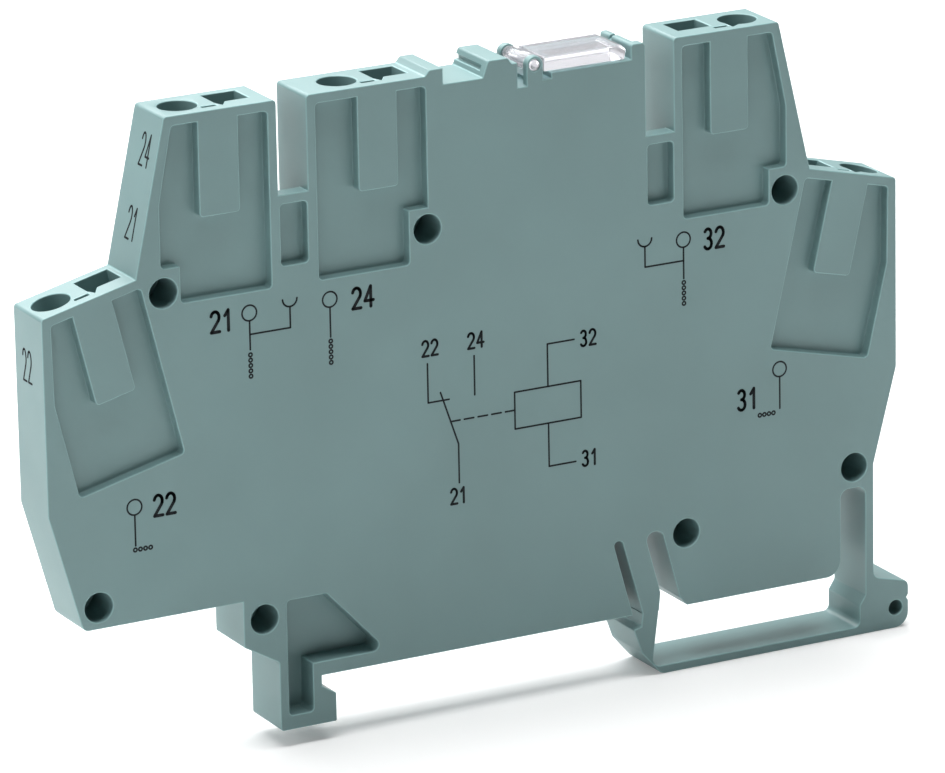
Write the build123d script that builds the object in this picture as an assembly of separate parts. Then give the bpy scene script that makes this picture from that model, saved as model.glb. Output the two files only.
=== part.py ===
from build123d import *
import math
import os

# Slim relay module for a 35 mm top-hat rail: one moulded housing with five spring-clamp
# terminals, a fixed rail hook, a sprung rail foot and a hinged clear marker cover.
# X runs along the module, with 0 at the middle of the rail. Y runs across its thickness,
# with the front face at the lowest Y. Z is height above the rail seat. Millimetres.

# Overall sizes
THICKNESS = 6.0
HALF_LENGTH = 44.85
TOWER_TOP = 56.0
RAIL_WIDTH = 35.0
FRONT = -THICKNESS / 2
BACK = THICKNESS / 2

# Walls
RIM = 0.95
FRONT_WALL = 0.6
COVER_THICKNESS = 0.6
COVER_RIM = 0.8
COVER_GAP = 0.05
POCKET_DEPTH = 1.1
CORNER = 0.4
INNER_BACK = BACK - COVER_THICKNESS
POCKET_BACK = FRONT + POCKET_DEPTH
CHAMBER_FRONT = POCKET_BACK + FRONT_WALL
BAY_FRONT = FRONT + FRONT_WALL

# Side profile of the housing
FLANK_TOP_Z = 20.1
FLANK_TILT = 15.2
BODY_FLOOR_Z = 8.6
SHOULDER_END_Z = 38.9
SHOULDER_TILT = 13.5
SHOULDER_RUN = 9.5
SHOULDER_X = HALF_LENGTH - SHOULDER_RUN
TOWER_LEAN = 3.3
TOWER_OUTER_X = SHOULDER_X - TOWER_LEAN
TOWER_WIDTH = 11.35
TOWER_INNER_X = TOWER_OUTER_X - TOWER_WIDTH
SLOT_WIDTH = 3.0
SLOT_FLOOR_Z = 46.95
SLOT_DEEP_Z = 42.0
SLOT_POCKET_LOW_Z = 40.2
SLOT_POCKET_HIGH_Z = 46.05
SLOT_POCKET_INSET = 0.12
SLOT_OUTER_X = TOWER_INNER_X - SLOT_WIDTH
SHOULDER_INNER_Z = SHOULDER_END_Z + (HALF_LENGTH - SHOULDER_X) * math.tan(math.radians(SHOULDER_TILT))

# Marking bay and hinge recess in the middle of the top
INNER_TOWER_WIDTH = 14.15
BAY_LEFT_X = INNER_TOWER_WIDTH - SLOT_OUTER_X
BAY_WIDTH = 4.1
BAY_FLOOR_Z = 55.0
BUMP_TOP_Z = 56.55
BAY_RIGHT_X = BAY_LEFT_X + BAY_WIDTH
BUMP_RUN = 0.6
GROOVE_HEIGHT = 0.45
GROOVE_LOW = 0.5
GROOVE_START = 1.0
LEDGE_Z = 54.53
STOP_WIDTH = 1.5
STOP_TOP_Z = 56.0
STOP_X = SLOT_OUTER_X - STOP_WIDTH
STOP_DEPTH = 1.1
STOP_RIB = 0.75
STOP_NOTCH_Y = 1.1
STOP_NOTCH = 0.45

# Marker cover and its hinge
BUMP_SHARE = 0.319
BUMP_WIDTH = BUMP_SHARE * (SLOT_OUTER_X - BAY_RIGHT_X)
HINGE_X = BAY_RIGHT_X + BUMP_WIDTH
BUMP_TOP_END = 0.512 * BUMP_WIDTH
BUMP_FOOT_END = 0.439 * BUMP_WIDTH
HINGE_Z = 55.45
EAR_RADIUS = 0.86
EAR_THICKNESS = 0.8
EAR_HOLE_RADIUS = 0.60
PIN_CLEARANCE = 0.06
PIN_RADIUS = EAR_HOLE_RADIUS - PIN_CLEARANCE
PIN_RECESS = 0.05
BARREL_RADIUS = 0.78
BARREL_END_GAP = 0.06
EAR_GAP = 0.95
PIT_DROP = 1.9
MARKER_TOP_Z = 56.05
MARKER_GAP = 0.12
MARKER_END_GAP = 0.45
MARKER_BACK_Y = 2.1
MARKER_FRONT_Y = FRONT + 0.1
MARKER_CHAMFER = 0.5
MARKER_START_GAP = 0.14

# Rail hook on the left
RAIL_LEFT_X = -RAIL_WIDTH / 2
HOOK_WIDTH = 4.38
HOOK_LEFT_X = RAIL_LEFT_X - HOOK_WIDTH
STEP_WIDTH = 3.57
STEP_X = HOOK_LEFT_X - STEP_WIDTH
STEP_Z = 4.15
HOOK_SLOPE = 30.2
HOOK_BOTTOM_Z = -4.74
HOOK_LIP = 1.45
RAIL_GAP_END = 1.05
RAIL_GAP_MOUTH = 1.95
HOOK_WALL = 1.25
HOOK_FLOOR = 1.4
HOOK_DEPTH = 2.45
HOLLOW_INSET = 0.92
HOLLOW_TOP = 4.15
HOLLOW_TOP_Z = 7.95
HOLLOW_LENGTH = 10.2
HOLLOW_TIP_RADIUS = 0.6
HOOK_RIGHT_X = RAIL_LEFT_X + HOOK_LIP

# Sprung foot on the right
BODY_RIGHT_INSET = 6.25
BODY_RIGHT_X = HALF_LENGTH - BODY_RIGHT_INSET
BODY_CORNER = 1.6
LATCH_PRELOAD = 0.78
LATCH_X = RAIL_WIDTH / 2 - LATCH_PRELOAD
THIN_SLIT = 0.95
SLIT_TILT = 15.0
SLIT_TOP_Z = 7.65
ARM_WIDTH = 2.45
WIDE_SLIT = 1.85
WIDE_SLIT_TOP_Z = 7.95
LEG_WIDTH = 1.85
NOSE_REACH = 0.85
NOSE_TOP_Z = -1.3
FOOT_BOTTOM_Z = -6.42
FOOT_BAR = 0.82
FOOT_BEND_X = LATCH_X + 1.95
FOOT_BEND_Z = -4.0
STRUT_WIDTH = 0.94
STRUT_SLOT_RADIUS = 0.9
STRUT_X = HALF_LENGTH - (FLANK_TOP_Z - BODY_FLOOR_Z) * math.tan(math.radians(FLANK_TILT)) + 0.56
LUG_REACH = 3.88
LUG_TOP_Z = -1.2
LUG_INNER_Z = -2.5
LUG_LEFT = 1.6
LUG_HOLE_RADIUS = 0.75
LUG_HOLE_Z = -4.36
LUG_HOLE_INSET = 1.45
LUG_X = STRUT_X + LUG_REACH

# Peg joints between the housing and its rear cover: X and Z of each
PEG_HOLE_RADIUS = 1.42
PEG_CLEARANCE = 0.04
PEG_LENGTH = 1.5
BOSS_WALL = 0.6
PEG_END_INSET = 4.75
PEG_END_X = HALF_LENGTH - PEG_END_INSET
PEG_TOWER_OFFSET = 0.55
PEG_TOWER_X = TOWER_OUTER_X + PEG_TOWER_OFFSET
PEG_BAY_GAP = 1.94
PEG_HOOK_GAP = 1.4
PEG_LATCH_GAP = 4.84
PEG_PLACES = [
    (-PEG_END_X, 10.7),
    (-PEG_TOWER_X, 39.5),
    (BAY_LEFT_X - PEG_BAY_GAP, 41.44),
    (PEG_TOWER_X, 39.5),
    (PEG_END_X, 10.7),
    (HOOK_LEFT_X - PEG_HOOK_GAP, 6.57),
    (LATCH_X + PEG_LATCH_GAP, 7.24),
]
LOWER_PEGS = PEG_PLACES[-2:]

# Terminals: a round conductor entry and a square slot for the operating tool
BORE_RADIUS = 1.85
TOOL_SLOT = 3.5
TOOL_SLOT_THICKNESS = 3.0
TOOL_SLOT_Y = 0.6
BORE_TO_SLOT = 5.1
CHAMBER_TOP = 10.0
CHANNEL_HALF_WIDTH = 1.6
CHANNEL_FRONT_Y = -1.6
NOTCH_SIZE = 1.0
NOTCH_Y = TOOL_SLOT_Y - TOOL_SLOT_THICKNESS / 2
SLOT_NOTCH_X = BORE_TO_SLOT - TOOL_SLOT / 2
BORE_NOTCH_X = 1.7
SLIT_GAP = 0.2
TEST_SLIT = 1.5
TEST_SLIT_WIDTH = 0.5
TEST_SLIT_DEPTH = 2.5
TONGUE_LEFT = 0.55
TONGUE_RIGHT = 4.65
TONGUE_LENGTH = 9.95
POCKET_RIGHT = 7.62
POCKET_HEIGHT = 17.7
PEG_STEP_TOWER = 14.2
PEG_STEP_INNER = 12.5
PEG_STEP_WIDTH = 2.0
OUTER_POCKET_LEFT = 1.95
OUTER_BEND = 8.3
TOWER_POCKET_LEFT = 1.6
TOWER_BEND = 8.25
TOWER_BEND_LEFT = 3.5
OUTER_BORE_INSET = 2.35
TOWER_BORE_INSET = 2.8
INNER_BORE_INSET = 4.67
OUTER_BORE_X = HALF_LENGTH - OUTER_BORE_INSET
TOWER_BORE_X = TOWER_OUTER_X - TOWER_BORE_INSET
INNER_BORE_X = INNER_BORE_INSET - SLOT_OUTER_X
OUTER_BORE_Z = SHOULDER_END_Z + (HALF_LENGTH - OUTER_BORE_X) * math.tan(math.radians(SHOULDER_TILT))

# Clamp springs and current bars
CLAMP_THICKNESS = 0.4
CLAMP_WIDTH = 3.0
CLAMP_LEG_WIDTH = 1.6
CLAMP_WINDOW_WIDTH = 2.0
CLAMP_Y = 0.55
CLAMP_LEG_U = 2.45
CLAMP_TOP = 11.2
CLAMP_SHOULDER = 12.4
CLAMP_END = 14.2
CLAMP_TAIL = 15.3
CLAMP_TIP = 16.3
CLAMP_BACK = 2.8
CLAMP_REACH = 3.1
CLAMP_CREST = 1.2
CLAMP_LEG_LOW = 18.2
WINDOW_TOP = 15.0
WINDOW_LOW = 17.2
BAR_THICKNESS = 0.6
BAR_TOP = 12.6
BAR_KNEE = 19.5

# Circuit board
RELAY_LENGTH = 28.0
RELAY_END_X = RELAY_LENGTH / 2
LED_SIZE = 1.6
LED_GAP = 0.6
LED_X = RELAY_END_X + LED_SIZE / 2 + LED_GAP
BOARD_LEFT_MARGIN = 13.5
BOARD_RIGHT_MARGIN = 11.1
BOARD_LEFT_X = -RELAY_END_X - BOARD_LEFT_MARGIN
BOARD_RIGHT_X = LED_X + BOARD_RIGHT_MARGIN
BOARD_THICKNESS = 1.0
BOARD_BOTTOM_Z = 12.0
BOARD_SIDE_GAP = 0.1
BOARD_TOP_Z = BOARD_BOTTOM_Z + BOARD_THICKNESS
BAY_END_GAP = 0.3
POST_WIDTH = 1.2
POST_INSET = 2.0
PIN_HOLE_GAP = 0.1
LANDING_INSET = 2.0
LANDING_PITCH = 4.0
INNER_LANDING_GAP = 3.0
RIGHT_LANDING_GAP = 3.6
RIGHT_LANDING_PITCH = 5.0
BAR_LANDINGS = [
    BOARD_LEFT_X + LANDING_INSET,
    BOARD_LEFT_X + LANDING_INSET + LANDING_PITCH,
    -RELAY_END_X - INNER_LANDING_GAP,
    LED_X + RIGHT_LANDING_GAP,
    LED_X + RIGHT_LANDING_GAP + RIGHT_LANDING_PITCH,
]

# Miniature relay on the board
RELAY_HEIGHT = 15.0
RELAY_WIDTH = 4.7
CASE_WALL = 0.4
BASE_THICKNESS = 1.2
RELAY_GAP = 0.1
RELAY_TOP_Z = BOARD_TOP_Z + RELAY_HEIGHT
BASE_TOP_Z = BOARD_TOP_Z + BASE_THICKNESS
CASE_INNER_X = RELAY_END_X - CASE_WALL
CASE_INNER_Y = RELAY_WIDTH / 2 - CASE_WALL
BAY_TOP_Z = RELAY_TOP_Z + BAY_END_GAP
OUTER_KNEE_Z = BOARD_TOP_Z + 4.0
TOWER_KNEE_Z = RELAY_TOP_Z - 1.0
INNER_KNEE_Z = RELAY_TOP_Z + 3.5

# Coil, core and yoke
YOKE_THICKNESS = 0.8
YOKE_LEFT_X = -CASE_INNER_X + 0.3
CONTACT_ROOM = 7.2
YOKE_RIGHT_X = CASE_INNER_X - CONTACT_ROOM
YOKE_TOP_Z = 22.8
YOKE_HALF_WIDTH = 1.7
CORE_RADIUS = 0.8
POLE_RADIUS = 1.3
POLE_THICKNESS = 0.5
COIL_Z = 18.0
COIL_GAP = 0.1
FLANGE_THICKNESS = 0.6
FLANGE_HALF_HEIGHT = 3.3
HUB_RADIUS = 1.15
WINDING_RADIUS = 1.75
CORE_GAP = 0.05

# Armature, card and contacts
ARMATURE_SWING = 5.0
ARMATURE_THICKNESS = 0.8
ARMATURE_HALF_WIDTH = 1.6
ARMATURE_GAP = 0.08
ARMATURE_LOW_Z = 15.0
ARMATURE_HIGH_Z = 26.6
CARD_Z = 25.8
CARD_HEIGHT = 1.0
CARD_LENGTH = 3.4
CARD_GAP = 0.03
SPRING_THICKNESS = 0.2
SPRING_HALF_WIDTH = 1.4
SPRING_TOP_Z = 26.8
CONTACT_THICKNESS = 0.3
RIVET_RADIUS = 0.55
RIVET_HEIGHT = 0.3
RIVET_Z = 23.6
FIXED_TOP_Z = 24.6
PIN_WIDTH = 0.8
COIL_PIN_INSET = 2.6
PIN_TIP_Z = BOARD_BOTTOM_Z - 0.8
ROOT_Z = BASE_TOP_Z + 0.2

# Parts on the board
LED_HEIGHT = 1.1
GUIDE_WIDTH = 1.6
GUIDE_HALF_DEPTH = 0.9
GUIDE_HEAD_INSET = 0.9
GUIDE_HEAD_LEFT_X = HINGE_X + 2.78
GUIDE_HEAD_RIGHT_X = STOP_X - GUIDE_HEAD_INSET
GUIDE_HEAD_DROP = 2.4
GUIDE_RISE = 6.0
GUIDE_BEND_Z = RELAY_TOP_Z + GUIDE_RISE
GUIDE_GAP = 0.15
WINDOW_GAP = 0.15
CHIP_LENGTH = 2.0
CHIP_WIDTH = 1.25
CHIP_HEIGHT = 0.6
CHIP_PLACES = [BAR_LANDINGS[1] + 2.3, BAR_LANDINGS[3] + 2.5]
DIODE_X = BAR_LANDINGS[0] + 2.0
DIODE_LENGTH = 2.2
DIODE_RADIUS = 0.75


def lean(length, angle):
    """Sideways run of a line of this height that leans by this angle."""
    return length * math.tan(math.radians(angle))


def profile(corners):
    """Face in X and Z from corners given as (x, z) or, where rounded, (x, z, radius)."""
    face = make_face(Polyline(*[corner[:2] for corner in corners], close=True))
    radii = sorted({corner[2] for corner in corners if len(corner) == 3})
    for radius in radii:
        places = [corner[:2] for corner in corners if len(corner) == 3 and corner[2] == radius]
        chosen = []
        for vertex in face.vertices():
            if any(math.hypot(vertex.X - x, vertex.Y - z) < 1e-4 for x, z in places):
                chosen.append(vertex)
        face = fillet(chosen, radius)
    return face


def plate(face, front, back):
    """Solid between two depths, from a face drawn in X and Z."""
    plane = Plane(origin=(0, back, 0), x_dir=(1, 0, 0), z_dir=(0, -1, 0))
    return extrude(plane * face, amount=back - front, dir=(0, -1, 0))


def block(low, high):
    """Box between two opposite corners."""
    size = [high[axis] - low[axis] for axis in range(3)]
    return Pos(*low) * Box(*size, align=(Align.MIN, Align.MIN, Align.MIN))


def rod_along_y(x, z, radius, front, back):
    """Round bar across the module."""
    return Pos(x, (front + back) / 2, z) * Rot(90, 0, 0) * Cylinder(radius, back - front)


def rod_along_x(left, right, y, z, radius):
    """Round bar along the module."""
    return Pos((left + right) / 2, y, z) * Rot(0, 90, 0) * Cylinder(radius, right - left)


def strip(points, thickness, front, back, bend=0.8):
    """Flat strip bent along a path in X and Z, of this thickness and this span in depth."""
    path = FilletPolyline(*points, radius=bend)
    return plate(trace(path, line_width=thickness), front, back)


def terminal_frames():
    """Place of each terminal: the conductor entry on the tower top, +X towards the tool slot."""
    left_outer = Pos(-OUTER_BORE_X, 0, OUTER_BORE_Z) * Rot(0, -SHOULDER_TILT, 0)
    left_tower = Pos(-TOWER_BORE_X, 0, TOWER_TOP)
    inner = Pos(INNER_BORE_X, 0, TOWER_TOP)
    return [left_outer, left_tower, inner]


def upper_corners():
    """Side outline of the housing above the rail fixing, clockwise from its lower left."""
    flank_foot = HALF_LENGTH - lean(FLANK_TOP_Z - BODY_FLOOR_Z, FLANK_TILT)
    left = [
        (-flank_foot, BODY_FLOOR_Z, 0.8),
        (-HALF_LENGTH, FLANK_TOP_Z),
        (-HALF_LENGTH, SHOULDER_END_Z, CORNER),
        (-SHOULDER_X, SHOULDER_INNER_Z),
        (-TOWER_OUTER_X, TOWER_TOP, CORNER),
        (-TOWER_INNER_X, TOWER_TOP, CORNER),
        (-TOWER_INNER_X, SLOT_FLOOR_Z),
        (-SLOT_OUTER_X, SLOT_FLOOR_Z),
        (-SLOT_OUTER_X, TOWER_TOP, CORNER),
    ]
    bay = [
        (BAY_LEFT_X - 1.9, TOWER_TOP),
        (BAY_LEFT_X - 1.4, BUMP_TOP_Z, 0.25),
        (BAY_LEFT_X, BUMP_TOP_Z),
        (BAY_LEFT_X, BAY_FLOOR_Z),
        (BAY_RIGHT_X, BAY_FLOOR_Z),
        (BAY_RIGHT_X + BUMP_RUN, BUMP_TOP_Z, 0.3),
        (HINGE_X - BUMP_TOP_END, BUMP_TOP_Z, 0.4),
        (HINGE_X - BUMP_FOOT_END, TOWER_TOP - 0.05, 0.2),
        (HINGE_X - EAR_RADIUS - EAR_GAP, TOWER_TOP - 0.05),
        (HINGE_X - EAR_RADIUS - EAR_GAP, HINGE_Z - PIT_DROP),
        (HINGE_X, HINGE_Z - PIT_DROP),
        (HINGE_X, HINGE_Z - PIT_DROP + 0.4),
        (HINGE_X + EAR_RADIUS + EAR_GAP - 0.1, HINGE_Z - PIT_DROP + 0.4),
        (HINGE_X + EAR_RADIUS + EAR_GAP - 0.1, LEDGE_Z),
        (STOP_X, LEDGE_Z),
        (STOP_X, STOP_TOP_Z, 0.3),
        (SLOT_OUTER_X, STOP_TOP_Z, 0.4),
    ]
    right = [
        (SLOT_OUTER_X, SLOT_FLOOR_Z),
        (TOWER_INNER_X, SLOT_FLOOR_Z),
        (TOWER_INNER_X, TOWER_TOP, CORNER),
        (TOWER_OUTER_X, TOWER_TOP, CORNER),
        (SHOULDER_X, SHOULDER_INNER_Z),
        (HALF_LENGTH, SHOULDER_END_Z, CORNER),
        (HALF_LENGTH, FLANK_TOP_Z),
        (STRUT_X, FLANK_TOP_Z - (HALF_LENGTH - STRUT_X) / math.tan(math.radians(FLANK_TILT))),
        (STRUT_X, BODY_FLOOR_Z),
    ]
    return left + bay + right


def lower_corners():
    """Side outline of the part below: rail hook on the left, rail seat, block on the right."""
    hook_shoulder_z = STEP_Z - (HOOK_LEFT_X - STEP_X) * math.tan(math.radians(HOOK_SLOPE))
    overlap_z = BODY_FLOOR_Z + RIM
    return [
        (STEP_X, overlap_z),
        (STEP_X, STEP_Z),
        (HOOK_LEFT_X, hook_shoulder_z, 0.4),
        (HOOK_LEFT_X, HOOK_BOTTOM_Z, 0.35),
        (HOOK_RIGHT_X, HOOK_BOTTOM_Z, 0.2),
        (HOOK_RIGHT_X, -RAIL_GAP_MOUTH, 0.2),
        (RAIL_LEFT_X, -RAIL_GAP_END),
        (RAIL_LEFT_X, 0),
        (BODY_RIGHT_X, 0, BODY_CORNER),
        (BODY_RIGHT_X, overlap_z),
    ]


def slit_corners():
    """The thin slit and the wide slit that leave the spring arm between them."""
    below = -0.5
    thin_left = LATCH_X - THIN_SLIT - 0.1
    thin = [
        (thin_left - lean(SLIT_TOP_Z, SLIT_TILT), SLIT_TOP_Z, 0.4),
        (thin_left + THIN_SLIT - lean(SLIT_TOP_Z, SLIT_TILT), SLIT_TOP_Z, 0.4),
        (thin_left + THIN_SLIT + 0.1 - lean(below, SLIT_TILT), below),
        (thin_left - lean(below, SLIT_TILT), below),
    ]
    arm_right = LATCH_X + ARM_WIDTH
    wide = [
        (arm_right - lean(WIDE_SLIT_TOP_Z, SLIT_TILT), WIDE_SLIT_TOP_Z, 0.8),
        (arm_right + WIDE_SLIT - lean(WIDE_SLIT_TOP_Z, SLIT_TILT), WIDE_SLIT_TOP_Z, 0.8),
        (arm_right + WIDE_SLIT - lean(0.9, SLIT_TILT), 0.9, 0.6),
        (arm_right + WIDE_SLIT + 1.0, below),
        (LATCH_X + LEG_WIDTH - 0.1, below),
        (arm_right - lean(1.8, SLIT_TILT), 1.8, 0.5),
    ]
    return thin, wide


def foot_corners():
    """Sprung foot: latch nose, bottom bar, release lug and the upright strut."""
    root_z = 0.8
    bar_top = FOOT_BOTTOM_Z + FOOT_BAR
    leg_right = LATCH_X + LEG_WIDTH
    lug_left = STRUT_X - LUG_LEFT
    return [
        (LATCH_X - 0.1, root_z),
        (LATCH_X, 0),
        (LATCH_X - 0.15, NOSE_TOP_Z),
        (LATCH_X - NOSE_REACH - 0.15, NOSE_TOP_Z - 0.2, 0.12),
        (LATCH_X - 0.12, FOOT_BEND_Z, 1.2),
        (FOOT_BEND_X, FOOT_BOTTOM_Z, 1.0),
        (LUG_X, FOOT_BOTTOM_Z, 1.5),
        (LUG_X, LUG_HOLE_Z + 0.55),
        (LUG_X - 0.22, LUG_HOLE_Z + 0.85),
        (LUG_X, LUG_HOLE_Z + 1.15),
        (LUG_X, LUG_TOP_Z - 0.65, 0.7),
        (STRUT_X, LUG_TOP_Z + 0.35, 0.8),
        (STRUT_X, BODY_FLOOR_Z + RIM),
        (STRUT_X - STRUT_WIDTH, BODY_FLOOR_Z + RIM),
        (STRUT_X - STRUT_WIDTH, LUG_INNER_Z, 0.4),
        (lug_left, LUG_INNER_Z - 1.0, 0.4),
        (lug_left, bar_top, 0.6),
        (LATCH_X + 1.0, bar_top, 0.8),
        (LATCH_X + 1.15, -4.2, 0.4),
        (leg_right, root_z),
    ]


def hook_hollow_corners():
    """Blind hollow that lightens the hook, open at the front."""
    left = HOOK_LEFT_X + HOLLOW_INSET
    inner = RAIL_LEFT_X - HOOK_WALL + 0.3
    return [
        (left, HOLLOW_TOP_Z, CORNER),
        (left + HOLLOW_TOP, HOLLOW_TOP_Z, CORNER),
        (left + HOLLOW_LENGTH, HOOK_FLOOR, HOLLOW_TIP_RADIUS),
        (inner, HOOK_FLOOR),
        (inner, HOOK_BOTTOM_Z + HOOK_FLOOR, CORNER),
        (left, HOOK_BOTTOM_Z + HOOK_FLOOR, CORNER),
    ]


def pocket_corners(left_side, right_side):
    """Marking pocket of one terminal in its own frame: a tongue hangs from the top."""
    tongue = [
        (TONGUE_LEFT, -RIM),
        (TONGUE_LEFT, -TONGUE_LENGTH, CORNER),
        (TONGUE_RIGHT, -TONGUE_LENGTH, CORNER),
        (TONGUE_RIGHT, -RIM),
    ]
    return left_side + tongue + right_side


def terminal_pockets():
    """Pocket faces of the three kinds of terminal, in module coordinates."""
    plain_right = [(POCKET_RIGHT, -RIM, CORNER), (POCKET_RIGHT, -POCKET_HEIGHT, CORNER)]
    boss_right = [
        (POCKET_RIGHT, -RIM, CORNER),
        (POCKET_RIGHT, -PEG_STEP_INNER),
        (POCKET_RIGHT - PEG_STEP_WIDTH, -PEG_STEP_INNER),
        (POCKET_RIGHT - PEG_STEP_WIDTH, -POCKET_HEIGHT, CORNER),
    ]
    end_face = HALF_LENGTH - OUTER_BORE_X - RIM
    tilt = math.radians(SHOULDER_TILT)
    outer_left = [
        (-end_face * math.cos(tilt) - OUTER_POCKET_LEFT, -POCKET_HEIGHT, CORNER),
        (-end_face * math.cos(tilt) - OUTER_POCKET_LEFT, -OUTER_BEND),
        (-end_face / math.cos(tilt) - RIM * math.tan(tilt), -RIM, CORNER),
    ]
    flank = lean(1.0, math.degrees(math.atan2(SHOULDER_X - TOWER_OUTER_X, TOWER_TOP - SHOULDER_INNER_Z)))
    flank_top = TOWER_BORE_X - TOWER_OUTER_X + RIM - flank * RIM
    tower_left = [
        (-TOWER_POCKET_LEFT, -POCKET_HEIGHT, CORNER),
        (-TOWER_POCKET_LEFT, -PEG_STEP_TOWER),
        (-TOWER_BEND_LEFT, -PEG_STEP_TOWER, CORNER),
        (-TOWER_BEND_LEFT, -TOWER_BEND),
        (flank_top, -RIM, CORNER),
    ]
    inner_left = [
        (-SLOT_OUTER_X + RIM - INNER_BORE_X, -POCKET_HEIGHT, CORNER),
        (-SLOT_OUTER_X + RIM - INNER_BORE_X, -RIM, CORNER),
    ]
    outer = profile(pocket_corners(outer_left, plain_right))
    tower = profile(pocket_corners(tower_left, plain_right))
    inner = profile(pocket_corners(inner_left, boss_right))
    outer = Pos(-OUTER_BORE_X, OUTER_BORE_Z) * Rot(0, 0, SHOULDER_TILT) * outer
    tower = Pos(-TOWER_BORE_X, TOWER_TOP) * tower
    inner = Pos(INNER_BORE_X, TOWER_TOP) * inner
    return outer, tower, inner


def slot_notch():
    """Notch at the front corner of the tool slot."""
    return [
        (SLOT_NOTCH_X, NOTCH_Y),
        (SLOT_NOTCH_X + NOTCH_SIZE / 3, NOTCH_Y - NOTCH_SIZE),
        (SLOT_NOTCH_X + NOTCH_SIZE, NOTCH_Y),
        (SLOT_NOTCH_X + NOTCH_SIZE / 2, NOTCH_Y + NOTCH_SIZE / 2),
    ]


def bore_notch():
    """Notch at the front of the conductor entry."""
    return [
        (BORE_NOTCH_X, -BORE_RADIUS / 3),
        (BORE_NOTCH_X, NOTCH_Y - 1.3 * NOTCH_SIZE),
        (BORE_NOTCH_X - NOTCH_SIZE, NOTCH_Y - 0.7 * NOTCH_SIZE),
        (BORE_RADIUS / 3, -BORE_RADIUS / 3),
    ]


def entry_cut(notch_corners, slit_x):
    """Conductor entry, tool slot, notch and test slit of one terminal, in its own frame."""
    bore = Pos(0, 0, -CHAMBER_TOP / 2) * Cylinder(BORE_RADIUS, CHAMBER_TOP)
    channel = block(
        (-CHANNEL_HALF_WIDTH, CHANNEL_FRONT_Y, -2 * CHAMBER_TOP),
        (CHANNEL_HALF_WIDTH, 0, -CHAMBER_TOP),
    )
    slot = block(
        (SLOT_NOTCH_X, NOTCH_Y, -1.5 * CHAMBER_TOP),
        (SLOT_NOTCH_X + TOOL_SLOT, NOTCH_Y + TOOL_SLOT_THICKNESS, 1.0),
    )
    notch_face = make_face(Polyline(*notch_corners, close=True))
    notch = Pos(0, 0, -TEST_SLIT_DEPTH) * extrude(notch_face, amount=2 * TEST_SLIT_DEPTH)
    slit_y = NOTCH_Y - NOTCH_SIZE + TEST_SLIT_WIDTH / 2
    test_slit = block(
        (slit_x - TEST_SLIT / 2, slit_y - TEST_SLIT_WIDTH / 2, -TEST_SLIT_DEPTH),
        (slit_x + TEST_SLIT / 2, slit_y + TEST_SLIT_WIDTH / 2, TEST_SLIT_DEPTH),
    )
    return bore + channel + slot + notch + test_slit


def mirrored(solid):
    """The same shape on the other side of the rail."""
    return mirror(solid, about=Plane.YZ)


def chamber_corners():
    """Side outline of the hollow inside the housing, up to the foot of the conductor bores."""
    flank_foot = HALF_LENGTH - lean(FLANK_TOP_Z - BODY_FLOOR_Z - RIM, FLANK_TILT) - RIM
    tilt = math.radians(SHOULDER_TILT)
    top_z = TOWER_TOP - CHAMBER_TOP
    end_x = HALF_LENGTH - RIM
    end_z = SHOULDER_END_Z - CHAMBER_TOP / math.cos(tilt) + RIM * math.tan(tilt)
    tower_x = TOWER_OUTER_X + (TOWER_TOP - top_z) * 0.22 - 1.1
    left = [
        (-flank_foot, BODY_FLOOR_Z + RIM),
        (-end_x, FLANK_TOP_Z),
        (-end_x, end_z),
        (-tower_x - 0.8, end_z + (end_x - tower_x - 0.8) * math.tan(tilt)),
        (-tower_x, top_z),
        (-TOWER_INNER_X - RIM, top_z),
        (-TOWER_INNER_X - RIM, SLOT_DEEP_Z - RIM),
        (-SLOT_OUTER_X + RIM, SLOT_DEEP_Z - RIM),
        (-SLOT_OUTER_X + RIM, top_z),
    ]
    middle = [
        (BAY_LEFT_X - 0.5, top_z),
        (BAY_LEFT_X - 0.5, BAY_FLOOR_Z - 2.0),
        (SLOT_OUTER_X - RIM, BAY_FLOOR_Z - 2.0),
    ]
    right = [(-x, z) for x, z in reversed(left)]
    return left + middle + right


def cover_face(gap):
    """Side outline of the rear cover, smaller all round by this gap."""
    inset = COVER_RIM + gap
    flank_foot = HALF_LENGTH - lean(FLANK_TOP_Z - BODY_FLOOR_Z - inset, FLANK_TILT) - inset
    tower_outer = TOWER_OUTER_X - inset
    shoulder = SHOULDER_X - inset / 2
    left = [
        (-flank_foot, BODY_FLOOR_Z + inset),
        (-HALF_LENGTH + inset, FLANK_TOP_Z),
        (-HALF_LENGTH + inset, SHOULDER_END_Z - inset),
        (-shoulder, SHOULDER_INNER_Z - inset),
        (-tower_outer, TOWER_TOP - inset),
        (-TOWER_INNER_X - inset, TOWER_TOP - inset),
        (-TOWER_INNER_X - inset, SLOT_DEEP_Z - inset),
        (-SLOT_OUTER_X + inset, SLOT_DEEP_Z - inset),
    ]
    middle = [
        (-SLOT_OUTER_X + inset, TOWER_TOP - inset),
        (BAY_LEFT_X - inset, TOWER_TOP - inset),
        (BAY_LEFT_X - inset, HINGE_Z - PIT_DROP - inset),
        (SLOT_OUTER_X - inset, HINGE_Z - PIT_DROP - inset),
    ]
    right = [(-x, z) for x, z in reversed(left)]
    face = profile(left + middle + right)
    for x, z in LOWER_PEGS:
        radius = PEG_HOLE_RADIUS + 0.2 - gap
        ear = Pos(x, z) * Circle(radius)
        neck = Pos(x, (z + BODY_FLOOR_Z + 2 * RIM) / 2) * Rectangle(2 * radius, BODY_FLOOR_Z + 2 * RIM - z)
        face = face + ear + neck
    return face


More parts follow.
